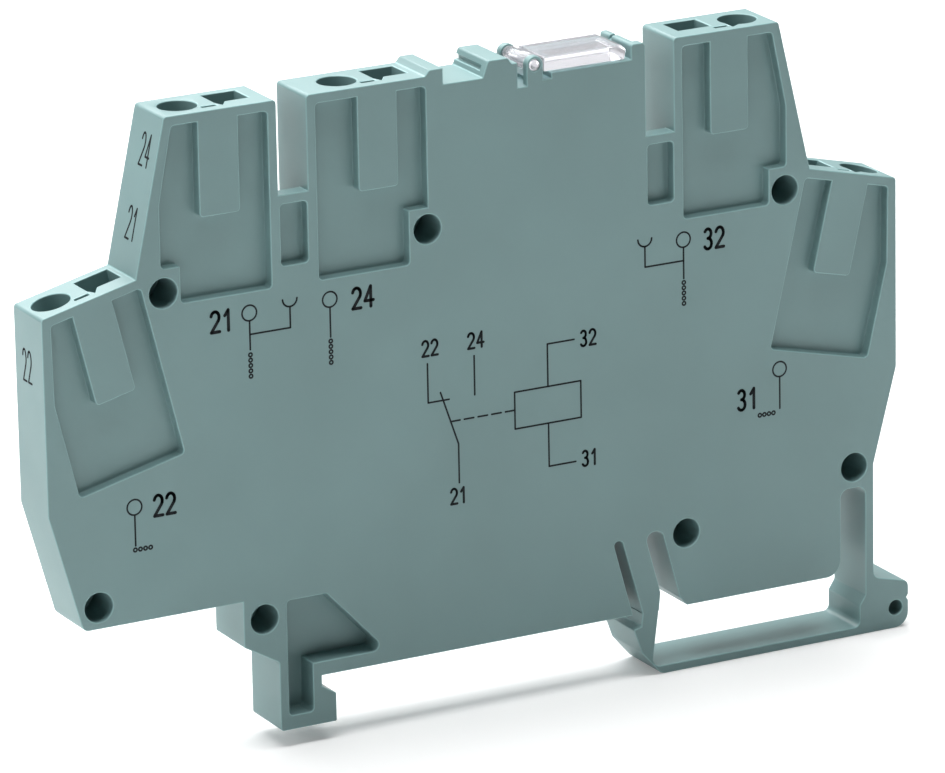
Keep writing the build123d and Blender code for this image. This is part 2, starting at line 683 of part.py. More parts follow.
def strut_corners():
    """Filling that rounds the upper end of the slot beside the strut."""
    right = STRUT_X - STRUT_WIDTH
    low_z = BODY_FLOOR_Z - STRUT_SLOT_RADIUS
    opening = profile([
        (BODY_RIGHT_X, low_z - 1),
        (BODY_RIGHT_X, BODY_FLOOR_Z, STRUT_SLOT_RADIUS),
        (right, BODY_FLOOR_Z, STRUT_SLOT_RADIUS),
        (right, low_z - 1),
    ])
    return block((BODY_RIGHT_X, FRONT, low_z), (right, BACK, BODY_FLOOR_Z)) - plate(opening, FRONT - 1, BACK + 1)


def make_housing():
    """One moulding: towers, hollow interior, rail hook and sprung foot."""
    solid = plate(profile(upper_corners()), FRONT, BACK)
    solid += plate(profile(lower_corners()), FRONT, BACK)
    thin, wide = slit_corners()
    solid -= plate(profile(thin), FRONT - 1, BACK + 1)
    solid -= plate(profile(wide), FRONT - 1, BACK + 1)
    solid += plate(profile(foot_corners()), FRONT, BACK)
    solid -= rod_along_y(LUG_X - LUG_HOLE_INSET, LUG_HOLE_Z, LUG_HOLE_RADIUS, FRONT - 1, BACK + 1)
    solid -= plate(profile(hook_hollow_corners()), FRONT - 1, FRONT + HOOK_DEPTH)

    chamber = plate(profile(chamber_corners()), CHAMBER_FRONT, BACK)
    boss = PEG_HOLE_RADIUS + BOSS_WALL
    for x, z in PEG_PLACES:
        chamber -= block((x - boss, FRONT, z - boss), (x + boss, BACK, z + boss))
    bay = block(
        (BOARD_LEFT_X - BAY_END_GAP, BAY_FRONT, BODY_FLOOR_Z + RIM),
        (BOARD_RIGHT_X + BAY_END_GAP, BACK, BAY_TOP_Z),
    )
    for x in (BOARD_LEFT_X + POST_INSET, BOARD_RIGHT_X - POST_INSET):
        post_low = (x - POST_WIDTH / 2, FRONT, BODY_FLOOR_Z)
        post_high = (x + POST_WIDTH / 2, INNER_BACK - 0.2, BOARD_BOTTOM_Z)
        chamber -= block(post_low, post_high)
        bay -= block(post_low, post_high)
    solid -= chamber
    solid -= bay
    solid -= plate(cover_face(0), INNER_BACK, BACK + 1)

    for face in terminal_pockets():
        solid -= plate(face, FRONT - 1, POCKET_BACK)
    outer_face, tower_face, inner_face = terminal_pockets()
    for face in (outer_face, tower_face):
        solid -= mirrored(plate(face, FRONT - 1, POCKET_BACK))
    for side in (-1, 1):
        low_x, high_x = sorted((side * SLOT_OUTER_X, side * TOWER_INNER_X))
        small = profile([
            (low_x + SLOT_POCKET_INSET, SLOT_POCKET_LOW_Z, CORNER),
            (low_x + SLOT_POCKET_INSET, SLOT_POCKET_HIGH_Z, CORNER),
            (high_x - SLOT_POCKET_INSET, SLOT_POCKET_HIGH_Z, CORNER),
            (high_x - SLOT_POCKET_INSET, SLOT_POCKET_LOW_Z, CORNER),
        ])
        solid -= plate(small, FRONT - 1, POCKET_BACK)
        solid -= block((low_x, CHAMBER_FRONT, SLOT_DEEP_Z), (high_x, BACK + 1, SLOT_FLOOR_Z + 1))

    left_cut = entry_cut(slot_notch(), SLOT_NOTCH_X - TEST_SLIT / 2 - SLIT_GAP)
    right_cut = entry_cut(bore_notch(), BORE_NOTCH_X + TEST_SLIT / 2 + SLIT_GAP)
    left_outer, left_tower, inner = terminal_frames()
    for place in (left_outer, left_tower, inner):
        solid -= place * left_cut
    for place in (left_outer, left_tower):
        solid -= mirrored(place * right_cut)

    for front in (FRONT, BACK - EAR_THICKNESS):
        stalk = profile([
            (HINGE_X - EAR_RADIUS, HINGE_Z - PIT_DROP - 0.3),
            (HINGE_X + EAR_RADIUS, HINGE_Z - PIT_DROP - 0.3),
            (HINGE_X + EAR_RADIUS, HINGE_Z),
            (HINGE_X - EAR_RADIUS, HINGE_Z),
        ])
        solid += plate(stalk, front, front + EAR_THICKNESS)
        solid += rod_along_y(HINGE_X, HINGE_Z, EAR_RADIUS, front, front + EAR_THICKNESS)
    solid -= rod_along_y(HINGE_X, HINGE_Z, EAR_HOLE_RADIUS, FRONT - 1, BACK + 1)
    window = block(
        (GUIDE_HEAD_LEFT_X - WINDOW_GAP, -GUIDE_HALF_DEPTH - WINDOW_GAP, BAY_FLOOR_Z - 3.0),
        (GUIDE_HEAD_RIGHT_X + WINDOW_GAP, GUIDE_HALF_DEPTH + WINDOW_GAP, LEDGE_Z + 1.0),
    )
    solid -= window
    solid -= block(
        (BAY_RIGHT_X - BUMP_RUN, FRONT + GROOVE_START, BAY_FLOOR_Z + GROOVE_LOW),
        (BAY_RIGHT_X + BUMP_RUN, BACK + 1, BAY_FLOOR_Z + GROOVE_LOW + GROOVE_HEIGHT),
    )
    solid -= block((STOP_X + STOP_RIB, FRONT + STOP_DEPTH, LEDGE_Z), (SLOT_OUTER_X + 1, BACK + 1, STOP_TOP_Z + 1))
    solid -= block(
        (STOP_X - 1, STOP_NOTCH_Y - STOP_NOTCH / 2, STOP_TOP_Z - STOP_NOTCH),
        (STOP_X + STOP_RIB + 1, STOP_NOTCH_Y + STOP_NOTCH / 2, STOP_TOP_Z + 1),
    )
    solid += strut_corners()
    for x, z in PEG_PLACES:
        solid -= rod_along_y(x, z, PEG_HOLE_RADIUS, FRONT - 1, BACK + 1)
    return solid


def make_rear_cover():
    """Flush side cover with seven six-sided pegs that press into the housing's bosses."""
    solid = plate(cover_face(COVER_GAP), INNER_BACK, BACK)
    for x, z in PEG_PLACES:
        peg = Pos(x, z) * RegularPolygon(PEG_HOLE_RADIUS - PEG_CLEARANCE, 6)
        solid += plate(peg, INNER_BACK - PEG_LENGTH, INNER_BACK + COVER_THICKNESS / 2)
    return solid


def make_marker_cover():
    """Clear lid over the marker strip, with a barrel between the ears and two short pins."""
    low = LEDGE_Z + MARKER_GAP
    start = HINGE_X + EAR_RADIUS + MARKER_START_GAP
    end = STOP_X - MARKER_END_GAP
    body = plate(profile([
        (start, low),
        (start, MARKER_TOP_Z),
        (end - MARKER_CHAMFER, MARKER_TOP_Z, 0.3),
        (end, MARKER_TOP_Z - MARKER_CHAMFER),
        (end - 0.2, low),
    ]), MARKER_FRONT_Y, MARKER_BACK_Y)
    barrel_front = FRONT + EAR_THICKNESS + BARREL_END_GAP
    barrel_back = BACK - EAR_THICKNESS - BARREL_END_GAP
    barrel = rod_along_y(HINGE_X, HINGE_Z, BARREL_RADIUS, barrel_front, barrel_back)
    neck = block(
        (HINGE_X, barrel_front, HINGE_Z - BARREL_RADIUS / 2),
        (start + 0.1, MARKER_BACK_Y, HINGE_Z + BARREL_RADIUS / 2),
    )
    pins = rod_along_y(HINGE_X, HINGE_Z, PIN_RADIUS, FRONT + PIN_RECESS, BACK - PIN_RECESS)
    return body + barrel + neck + pins


def clamp_spring():
    """Cage clamp bent from one strip, in the terminal's own frame."""
    front = CLAMP_Y - CLAMP_WIDTH / 2
    back = CLAMP_Y + CLAMP_WIDTH / 2
    path = [
        (CLAMP_LEG_U, -CLAMP_END),
        (CLAMP_LEG_U, -CLAMP_SHOULDER),
        (CLAMP_LEG_U + CLAMP_CREST, -CLAMP_TOP),
        (CLAMP_LEG_U + CLAMP_BACK, -CLAMP_SHOULDER),
        (CLAMP_LEG_U + CLAMP_BACK - 0.1, -CLAMP_TAIL),
        (CLAMP_LEG_U - CLAMP_REACH, -CLAMP_TIP),
    ]
    solid = strip(path, CLAMP_THICKNESS, front, back, bend=0.6)
    window = block(
        (CLAMP_LEG_U - 1.2, CLAMP_Y - CLAMP_WINDOW_WIDTH / 2, -WINDOW_LOW),
        (CLAMP_LEG_U + 0.5, CLAMP_Y + CLAMP_WINDOW_WIDTH / 2, -WINDOW_TOP),
    )
    leg = block(
        (CLAMP_LEG_U - CLAMP_THICKNESS / 2, CLAMP_Y - CLAMP_LEG_WIDTH / 2, -CLAMP_LEG_LOW),
        (CLAMP_LEG_U + CLAMP_THICKNESS / 2, CLAMP_Y + CLAMP_LEG_WIDTH / 2, -CLAMP_END + 0.2),
    )
    return solid - window + leg


def bar_path(place_x, place_z, tilt):
    """Route of a current bar from its clamp to the board, in module coordinates."""
    angle = math.radians(tilt)
    u = CLAMP_LEG_U - CLAMP_THICKNESS / 2 - BAR_THICKNESS / 2
    points = []
    for w in (-BAR_TOP, -BAR_KNEE):
        x = place_x + u * math.cos(angle) - w * math.sin(angle)
        z = place_z + u * math.sin(angle) + w * math.cos(angle)
        points.append((x, z))
    return points


def current_bar(points, landing, knee_z):
    """Current bar: narrow where it passes the clamp's window, then down to the board."""
    front = CLAMP_Y - CLAMP_LEG_WIDTH / 2
    back = CLAMP_Y + CLAMP_LEG_WIDTH / 2
    route = points + [(landing, knee_z), (landing, BOARD_TOP_Z)]
    return strip(route, BAR_THICKNESS, front, back, bend=0.8)


def contact_strip(x, thickness, top_z, half_width):
    """Upright contact strip on the relay base, with its solder pin through the board."""
    upright = block((x, -half_width, BASE_TOP_Z - 0.6), (x + thickness, half_width, top_z))
    pin = block((x, -PIN_WIDTH / 2, PIN_TIP_Z), (x + thickness, PIN_WIDTH / 2, BASE_TOP_Z))
    return upright + pin


armature_x = YOKE_RIGHT_X + ARMATURE_GAP
armature_right = armature_x + ARMATURE_THICKNESS
spring_x = armature_right + CARD_LENGTH + 2 * CARD_GAP
card_lift = CARD_Z - YOKE_TOP_Z
card_travel = card_lift * math.radians(ARMATURE_SWING)
spring_height = CARD_Z - ROOT_Z
rivet_travel = card_travel * (RIVET_Z - ROOT_Z) / spring_height
nc_x = spring_x - 2 * RIVET_HEIGHT - CARD_GAP - CONTACT_THICKNESS
no_x = spring_x + SPRING_THICKNESS + 2 * RIVET_HEIGHT + rivet_travel + CARD_GAP
pole_travel = (YOKE_TOP_Z - COIL_Z + POLE_RADIUS) * math.radians(ARMATURE_SWING)
pole_x = armature_x - pole_travel - CARD_GAP
coil_pin_x = COIL_PIN_INSET - CASE_INNER_X
coil_pin_places = [(coil_pin_x, 0.9), (coil_pin_x, -0.9)]


def make_board():
    """Narrow circuit board that lies across the bay, drilled for the relay's pins."""
    solid = block(
        (BOARD_LEFT_X, BAY_FRONT + BOARD_SIDE_GAP, BOARD_BOTTOM_Z),
        (BOARD_RIGHT_X, INNER_BACK - BOARD_SIDE_GAP, BOARD_TOP_Z),
    )
    for x, thickness in ((spring_x, SPRING_THICKNESS), (nc_x, CONTACT_THICKNESS), (no_x, CONTACT_THICKNESS)):
        solid -= block(
            (x - PIN_HOLE_GAP, -PIN_WIDTH / 2 - PIN_HOLE_GAP, BOARD_BOTTOM_Z - 1),
            (x + thickness + PIN_HOLE_GAP, PIN_WIDTH / 2 + PIN_HOLE_GAP, BOARD_TOP_Z + 1),
        )
    for x, y in coil_pin_places:
        solid -= Pos(x, y, BOARD_BOTTOM_Z) * Cylinder(PIN_WIDTH / 4 + PIN_HOLE_GAP, 3 * BOARD_THICKNESS)
    return solid


def make_relay_base():
    """Base plate of the relay, slotted for its contact strips and pins."""
    half_length = CASE_INNER_X - RELAY_GAP
    half_width = CASE_INNER_Y - RELAY_GAP
    solid = block((-half_length, -half_width, BOARD_TOP_Z), (half_length, half_width, BASE_TOP_Z))
    for x, thickness, width in (
        (spring_x, SPRING_THICKNESS, SPRING_HALF_WIDTH),
        (nc_x, CONTACT_THICKNESS, SPRING_HALF_WIDTH),
        (no_x, CONTACT_THICKNESS, SPRING_HALF_WIDTH),
    ):
        solid -= block(
            (x - CARD_GAP, -width - CARD_GAP, BOARD_TOP_Z - 1),
            (x + thickness + CARD_GAP, width + CARD_GAP, BASE_TOP_Z + 1),
        )
    for x, y in coil_pin_places:
        solid -= Pos(x, y, BOARD_TOP_Z) * Cylinder(PIN_WIDTH / 4 + CARD_GAP, 4 * BASE_THICKNESS)
    return solid


def make_relay_case():
    """Case of the relay, a thin-walled box open at the bottom."""
    half_length = RELAY_LENGTH / 2
    half_width = RELAY_WIDTH / 2
    solid = block((-half_length, -half_width, BOARD_TOP_Z), (half_length, half_width, RELAY_TOP_Z))
    solid -= block(
        (-CASE_INNER_X, -CASE_INNER_Y, BOARD_TOP_Z - 1),
        (CASE_INNER_X, CASE_INNER_Y, RELAY_TOP_Z - CASE_WALL),
    )
    return solid


def make_yoke():
    """Bent iron yoke that carries the core on the left and the armature on the right."""
    upright = block(
        (YOKE_LEFT_X, -YOKE_HALF_WIDTH, BASE_TOP_Z),
        (YOKE_LEFT_X + YOKE_THICKNESS, YOKE_HALF_WIDTH, YOKE_TOP_Z),
    )
    upright -= rod_along_x(YOKE_LEFT_X - 1, YOKE_LEFT_X + 2, 0, COIL_Z, CORE_RADIUS + CORE_GAP)
    limb = block(
        (YOKE_LEFT_X, -YOKE_HALF_WIDTH, YOKE_TOP_Z - YOKE_THICKNESS),
        (YOKE_RIGHT_X, YOKE_HALF_WIDTH, YOKE_TOP_Z),
    )
    return upright + limb


def make_core():
    """Iron core with a wider pole face."""
    rod = rod_along_x(YOKE_LEFT_X, pole_x, 0, COIL_Z, CORE_RADIUS)
    return rod + rod_along_x(pole_x - POLE_THICKNESS, pole_x, 0, COIL_Z, POLE_RADIUS)


def coil_span():
    """Left and right faces of the bobbin."""
    return YOKE_LEFT_X + YOKE_THICKNESS + COIL_GAP, pole_x - POLE_THICKNESS - COIL_GAP


def make_bobbin():
    """Bobbin: a tube with a flange at each end."""
    left, right = coil_span()
    solid = rod_along_x(left, right, 0, COIL_Z, HUB_RADIUS)
    low = COIL_Z - FLANGE_HALF_HEIGHT
    high = COIL_Z + FLANGE_HALF_HEIGHT
    for x in (left, right - FLANGE_THICKNESS):
        solid += block((x, -WINDING_RADIUS, low), (x + FLANGE_THICKNESS, WINDING_RADIUS, high))
    return solid - rod_along_x(left - 1, right + 1, 0, COIL_Z, CORE_RADIUS + CORE_GAP)


def make_winding():
    """Copper winding on the bobbin."""
    left, right = coil_span()
    left += FLANGE_THICKNESS + CORE_GAP
    right -= FLANGE_THICKNESS + CORE_GAP
    solid = rod_along_x(left, right, 0, COIL_Z, WINDING_RADIUS)
    return solid - rod_along_x(left - 1, right + 1, 0, COIL_Z, HUB_RADIUS + CORE_GAP)


def make_coil_pins():
    """The coil's two solder pins."""
    return [
        Pos(x, y, (PIN_TIP_Z + BASE_TOP_Z) / 2) * Cylinder(PIN_WIDTH / 4, BASE_TOP_Z - PIN_TIP_Z)
        for x, y in coil_pin_places
    ]


def make_armature():
    """Hinged iron armature: its lower end meets the pole, its upper end pushes the card."""
    return block(
        (armature_x, -ARMATURE_HALF_WIDTH, ARMATURE_LOW_Z),
        (armature_right, ARMATURE_HALF_WIDTH, ARMATURE_HIGH_Z),
    )


def make_card():
    """Insulating card between the armature and the moving contact."""
    left = armature_right + CARD_GAP
    return block(
        (left, -SPRING_HALF_WIDTH, CARD_Z - CARD_HEIGHT / 2),
        (left + CARD_LENGTH, SPRING_HALF_WIDTH, CARD_Z + CARD_HEIGHT / 2),
    )


def make_contact_spring():
    """Moving contact: a leaf spring with a silver rivet on both sides."""
    solid = block((spring_x, -SPRING_HALF_WIDTH, ROOT_Z), (spring_x + SPRING_THICKNESS, SPRING_HALF_WIDTH, SPRING_TOP_Z))
    return solid + rod_along_x(
        spring_x - RIVET_HEIGHT, spring_x + SPRING_THICKNESS + RIVET_HEIGHT, 0, RIVET_Z, RIVET_RADIUS
    )


def make_spring_root():
    """Fixed foot of the moving contact, with its solder pin."""
    return contact_strip(spring_x, SPRING_THICKNESS, ROOT_Z - CARD_GAP, SPRING_HALF_WIDTH)


def make_nc_contact():
    """Fixed contact that the moving one rests against."""
    solid = contact_strip(nc_x, CONTACT_THICKNESS, FIXED_TOP_Z, SPRING_HALF_WIDTH)
    return solid + rod_along_x(nc_x, nc_x + CONTACT_THICKNESS + RIVET_HEIGHT, 0, RIVET_Z, RIVET_RADIUS)


def make_no_contact():
    """Fixed contact that closes when the coil is on."""
    solid = contact_strip(no_x, CONTACT_THICKNESS, FIXED_TOP_Z, SPRING_HALF_WIDTH)
    return solid + rod_along_x(no_x - RIVET_HEIGHT, no_x + CONTACT_THICKNESS, 0, RIVET_Z, RIVET_RADIUS)


def make_led():
    """Status light on the board."""
    half = LED_SIZE / 2
    return block(
        (LED_X - half, -GUIDE_HALF_DEPTH, BOARD_TOP_Z),
        (LED_X + half, GUIDE_HALF_DEPTH, BOARD_TOP_Z + LED_HEIGHT),
    )


def make_light_guide():
    """Clear light guide from the status light up to the window under the marker cover."""
    low = BOARD_TOP_Z + LED_HEIGHT + GUIDE_GAP
    top = LEDGE_Z - GUIDE_GAP
    head_low = top - GUIDE_HEAD_DROP
    left = LED_X - GUIDE_WIDTH / 2
    right = LED_X + GUIDE_WIDTH / 2
    return plate(profile([
        (left, low),
        (left, GUIDE_BEND_Z),
        (GUIDE_HEAD_LEFT_X, head_low),
        (GUIDE_HEAD_LEFT_X, top),
        (GUIDE_HEAD_RIGHT_X, top),
        (GUIDE_HEAD_RIGHT_X, head_low),
        (right, GUIDE_BEND_Z),
        (right, low),
    ]), -GUIDE_HALF_DEPTH, GUIDE_HALF_DEPTH)


def make_chips():
    """Chip resistors on the board."""
    return [
        block(
            (x - CHIP_LENGTH / 2, -CHIP_WIDTH / 2, BOARD_TOP_Z),
            (x + CHIP_LENGTH / 2, CHIP_WIDTH / 2, BOARD_TOP_Z + CHIP_HEIGHT),
        )
        for x in CHIP_PLACES
    ]


def make_diode():
    """Glass diode across the coil supply."""
    half = DIODE_LENGTH / 2
    return rod_along_x(DIODE_X - half, DIODE_X + half, 0, BOARD_TOP_Z + DIODE_RADIUS, DIODE_RADIUS)


def terminal_parts():
    """Clamp springs and current bars of the five terminals, left to right."""
    spring = clamp_spring()
    left_outer, left_tower, inner = terminal_frames()
    springs = [
        left_outer * spring,
        left_tower * spring,
        inner * spring,
        mirrored(left_tower * spring),
        mirrored(left_outer * spring),
    ]
    outer = bar_path(-OUTER_BORE_X, OUTER_BORE_Z, SHOULDER_TILT)
    tower = bar_path(-TOWER_BORE_X, TOWER_TOP, 0)
    middle = bar_path(INNER_BORE_X, TOWER_TOP, 0)
    flip = [[(-x, z) for x, z in points] for points in (tower, outer)]
    bars = [
        current_bar(outer, BAR_LANDINGS[0], OUTER_KNEE_Z),
        current_bar(tower, BAR_LANDINGS[1], TOWER_KNEE_Z),
        current_bar(middle, BAR_LANDINGS[2], INNER_KNEE_Z),
        current_bar(flip[0], BAR_LANDINGS[3], TOWER_KNEE_Z),
        current_bar(flip[1], BAR_LANDINGS[4], OUTER_KNEE_Z),
    ]
    return springs, bars


def single_part(shape):
    """The one solid in a shape, or a compound where the node is a group of solids."""
    solids = shape.solids() if not isinstance(shape, list) else [piece.solid() for piece in shape]
    return solids[0] if len(solids) == 1 else Compound(children=list(solids))


def build():
    springs, bars = terminal_parts()
    nodes = {
        "housing": make_housing(),
        "rear_cover": make_rear_cover(),
        "marker_cover": make_marker_cover(),
        "circuit_board": make_board(),
        "relay_base": make_relay_base(),
        "relay_case": make_relay_case(),
        "relay_yoke": make_yoke(),
        "relay_core": make_core(),
        "coil_bobbin": make_bobbin(),
        "coil_winding": make_winding(),
        "coil_pins": make_coil_pins(),
        "armature": make_armature(),
        "actuator_card": make_card(),
        "contact_spring": make_contact_spring(),
        "spring_root": make_spring_root(),
        "nc_contact": make_nc_contact(),
        "no_contact": make_no_contact(),
        "status_led": make_led(),
        "light_guide": make_light_guide(),
        "chip_resistors": make_chips(),
        "diode": make_diode(),
    }
    for number, (spring, bar) in enumerate(zip(springs, bars), start=1):
        nodes[f"clamp_spring_{number}"] = spring
        nodes[f"current_bar_{number}"] = bar
    return {name: single_part(shape) for name, shape in nodes.items()}


os.makedirs("parts", exist_ok=True)
for name, shape in build().items():
    export_step(shape, f"parts/{name}.step")
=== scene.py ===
import math

import bmesh
import bpy
from bpy.props import FloatProperty, FloatVectorProperty, IntProperty, PointerProperty
from mathutils import Matrix, Vector
from mathutils.geometry import delaunay_2d_cdt


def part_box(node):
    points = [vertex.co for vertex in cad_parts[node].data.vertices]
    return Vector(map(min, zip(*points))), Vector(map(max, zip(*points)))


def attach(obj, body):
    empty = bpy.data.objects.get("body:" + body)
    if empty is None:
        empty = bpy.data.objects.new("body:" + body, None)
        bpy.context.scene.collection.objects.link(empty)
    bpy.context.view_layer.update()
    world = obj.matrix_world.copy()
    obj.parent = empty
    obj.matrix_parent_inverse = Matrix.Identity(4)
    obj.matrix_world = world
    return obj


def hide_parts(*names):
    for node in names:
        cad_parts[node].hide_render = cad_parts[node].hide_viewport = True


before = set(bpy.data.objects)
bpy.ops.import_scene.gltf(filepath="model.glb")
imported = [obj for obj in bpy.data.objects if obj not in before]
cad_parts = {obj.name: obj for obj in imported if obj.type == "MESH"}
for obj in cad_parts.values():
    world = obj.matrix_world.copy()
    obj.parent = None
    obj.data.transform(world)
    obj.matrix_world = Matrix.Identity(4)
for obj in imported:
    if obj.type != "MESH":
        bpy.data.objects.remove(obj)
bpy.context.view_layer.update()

bl_info = {
    "name": "Slim relay module",
    "version": (1, 0, 0),
    "blender": (4, 5, 0),
    "location": "View3D > Sidebar > Relay module",
    "description": "Dresses a rail-mounted relay module: moulded housing, clear cover, print and studio",
    "category": "Object",
}

MM = 0.001
HOUSING_LOW, HOUSING_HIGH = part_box("housing")
FRONT_Y = HOUSING_LOW[1]
FLOOR_Z = HOUSING_LOW[2]
COVER_THICKNESS = 0.6 * MM
SEAM_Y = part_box("rear_cover")[1][1] - COVER_THICKNESS


# Sizes and colours that a user would change

class RelaySizes(bpy.types.PropertyGroup):
    """Sizes of the finishing details."""

    edge_radius: FloatProperty(
        name="Edge radius", description="Rounding of the housing's edges",
        default=0.10 * MM, min=0.0, max=0.4 * MM, unit="LENGTH", precision=5)
    lid_edge_radius: FloatProperty(
        name="Lid edge radius", description="Rounding of the clear cover's edges",
        default=0.12 * MM, min=0.0, max=0.3 * MM, unit="LENGTH", precision=5)
    edge_steps: IntProperty(
        name="Edge steps", description="Facets across a rounded edge", default=2, min=1, max=6)
    print_width: FloatProperty(
        name="Print line width", description="Width of the printed lines",
        default=0.17 * MM, min=0.05 * MM, max=0.5 * MM, unit="LENGTH", precision=5)
    print_height: FloatProperty(
        name="Print thickness", description="Thickness of the printed ink",
        default=0.012 * MM, min=0.002 * MM, max=0.05 * MM, unit="LENGTH", precision=6)
    figure_height: FloatProperty(
        name="Figure height", description="Height of the printed figures on the front",
        default=1.95 * MM, min=1.0 * MM, max=4.0 * MM, unit="LENGTH", precision=5)
    side_figure_height: FloatProperty(
        name="Side figure height", description="Height of the printed figures on the left faces",
        default=3.0 * MM, min=1.0 * MM, max=5.0 * MM, unit="LENGTH", precision=5)


class RelayFinish(bpy.types.PropertyGroup):
    """Colours and roughness of the finishes."""

    plastic_colour: FloatVectorProperty(
        name="Housing colour", description="Colour of the moulded housing",
        subtype="COLOR", size=3, default=(0.164, 0.275, 0.277), min=0.0, max=1.0)
    plastic_roughness: FloatProperty(
        name="Housing roughness", description="Roughness of the moulded housing",
        default=0.42, min=0.0, max=1.0, subtype="FACTOR")
    grain_size: FloatProperty(
        name="Grain size", description="Size of the spark-eroded grain of the mould",
        default=0.16 * MM, min=0.02 * MM, max=1.0 * MM, unit="LENGTH", precision=5)
    ink_colour: FloatVectorProperty(
        name="Print colour", description="Colour of the printed marks",
        subtype="COLOR", size=3, default=(0.012, 0.014, 0.016), min=0.0, max=1.0)
    cover_tint: FloatVectorProperty(
        name="Cover tint", description="Tint of the clear marker cover",
        subtype="COLOR", size=3, default=(0.84, 0.84, 0.88), min=0.0, max=1.0)
    cover_roughness: FloatProperty(
        name="Cover roughness", description="Roughness of the clear marker cover",
        default=0.07, min=0.0, max=1.0, subtype="FACTOR")
    cover_clearness: FloatProperty(
        name="Cover clearness", description="Share of the light that the marker cover lets through",
        default=0.86, min=0.0, max=1.0, subtype="FACTOR")
    lamp_colour: FloatVectorProperty(
        name="Status light colour", description="Tint of the status light's lens",
        subtype="COLOR", size=3, default=(0.42, 0.05, 0.22), min=0.0, max=1.0)


class RelayStudio(bpy.types.PropertyGroup):
    """Camera and lights."""

    azimuth: FloatProperty(
        name="Camera azimuth", description="Turn of the view from straight at the front face",
        default=math.radians(27.72), subtype="ANGLE")
    elevation: FloatProperty(
        name="Camera elevation", description="How far the camera looks down",
        default=math.radians(17.34), subtype="ANGLE")
    roll: FloatProperty(
        name="Camera roll", description="Turn of the picture about the line of sight",
        default=math.radians(1.09), subtype="ANGLE")
    distance: FloatProperty(
        name="Camera distance", description="Distance from the camera to the aim point",
        default=718.2 * MM, min=0.1, max=5.0, unit="LENGTH")
    lens: FloatProperty(
        name="Lens", description="Focal length for a 36 mm wide sensor, in millimetres",
        default=292.3, min=20.0, max=500.0)
    top_light: FloatProperty(
        name="Top light", description="Power of the soft light above, in watts", default=5.6, min=0.0)
    back_light: FloatProperty(
        name="Back light", description="Power of the soft light above and behind, in watts",
        default=2.45, min=0.0)
    left_light: FloatProperty(
        name="Left light", description="Power of the soft light at the left, in watts", default=1.2, min=0.0)
    fill_light: FloatProperty(
        name="Fill light", description="Strength of the even light from all sides", default=0.03, min=0.0)
    sheen: FloatProperty(
        name="Sheen", description="Share of the white surroundings that glossy faces reflect",
        default=0.5, min=0.0, max=1.0, subtype="FACTOR")


# Merging and rounding of the copied solids, and the painted highlight on their rounded edges

WELD = 0.002 * MM
CUT_WELD = 0.001 * MM
CUT_NEARNESS = 1e-9
CROSSED_AREA = 0.01 * MM * MM
ON_SEAM = 0.01 * MM
SKIN = 0.1 * MM
FLAT_ANGLE = math.radians(0.1)
SHARP_ANGLE = math.radians(35)
SMOOTH_ANGLE = math.radians(40)
CEILING_NORMAL_Z = -0.9
ROUNDED_SLOT = 1
# The plastic paints a highlight on the rounded outer edges through this mask, lightening their base colour
EDGE_HIGHLIGHT_ATTRIBUTE = "rounded_edge"
DRIFT_AND_HIGHLIGHT_SHARE = 0.6

# Printed figures: stroke, width and advance in shares of their height

THICK = 0.16
THIN = 0.07
WIDE = 0.75
SLIM = 0.42
ADVANCE = 0.86
SMALL = 0.76

# Printed drawing: places in millimetres across and up the front face

RING_RADIUS = 0.74
DOT_RADIUS = 0.17
RING_STEMS = (
    (-24.0, 36.3, 32.8),
    (-15.75, 36.3, 32.7),
    (21.55, 36.3, 32.5),
    (31.9, 21.9, 18.0),
    (-36.2, 19.7, 16.0),
)
PLUG_BRANCHES = ((-24.0, -19.85), (21.55, 17.4))
BRANCH_UP = 34.25
PLUG_UP = 37.0
DOTS_DOWN = ((-24.0, 32.3), (-15.75, 32.3), (21.55, 32.1))
DOTS_DOWN_LENGTH = 2.05
DOTS_DOWN_COUNT = 5
DOTS_ACROSS = (((-36.25, 15.6), (-34.7, 15.6)), ((29.7, 17.65), (31.2, 17.65)))
DOTS_ACROSS_COUNT = 4
TERMINAL_NUMBERS = (
    ("21", -27.9, 35.0),
    ("24", -13.4, 35.0),
    ("22", -34.2, 18.5),
    ("32", 23.8, 35.0),
    ("31", 27.3, 18.5),
)
CONTACT_LINES = (
    ((-5.8, 28.5), (-5.8, 24.7), (-3.6, 24.7)),
    ((-4.5, 25.5), (-2.7, 20.2), (-2.7, 16.4)),
    ((-0.9, 28.5), (-0.9, 24.7)),
)
DASH_START = -3.5
DASH_UP = 22.5
DASH_STEP = 1.45
DASH_LENGTH = 1.0
DASH_COUNT = 5
COIL_LINES = (
    ((3.3, 20.65), (3.3, 24.25), (10.35, 24.25), (10.35, 20.65), (3.3, 20.65)),
    ((6.85, 24.25), (6.85, 28.4), (9.7, 28.4)),
    ((6.85, 20.65), (6.85, 16.4), (9.7, 16.4)),
)
CIRCUIT_NUMBERS = (
    ("22", -6.3, 29.25),
    ("24", -1.5, 29.25),
    ("21", -3.6, 14.4),
    ("32", 10.4, 27.6),
    ("31", 10.4, 15.8),
)

# Numbers on the left faces, and the ends of the tall tower's sloping flank, in millimetres

FLANK_FOOT = (-35.35, 0.0, 41.17)
FLANK_TOP = (-32.05, 0.0, 56.0)
END_NUMBER = ("22", -1.3, 32.2)
FLANK_NUMBERS = (("21", -0.5, 3.2), ("24", -0.3, 10.1))

# Outputs of the Light Path, Texture Coordinate, Attribute and Wave Texture nodes

CAMERA_RAY = 0
GLOSSY_RAY = 3
TRANSMISSION_RAY = 6
OBJECT_PLACE = 3
ATTRIBUTE_VALUE = 2
WAVE_VALUE = 1

# Studio

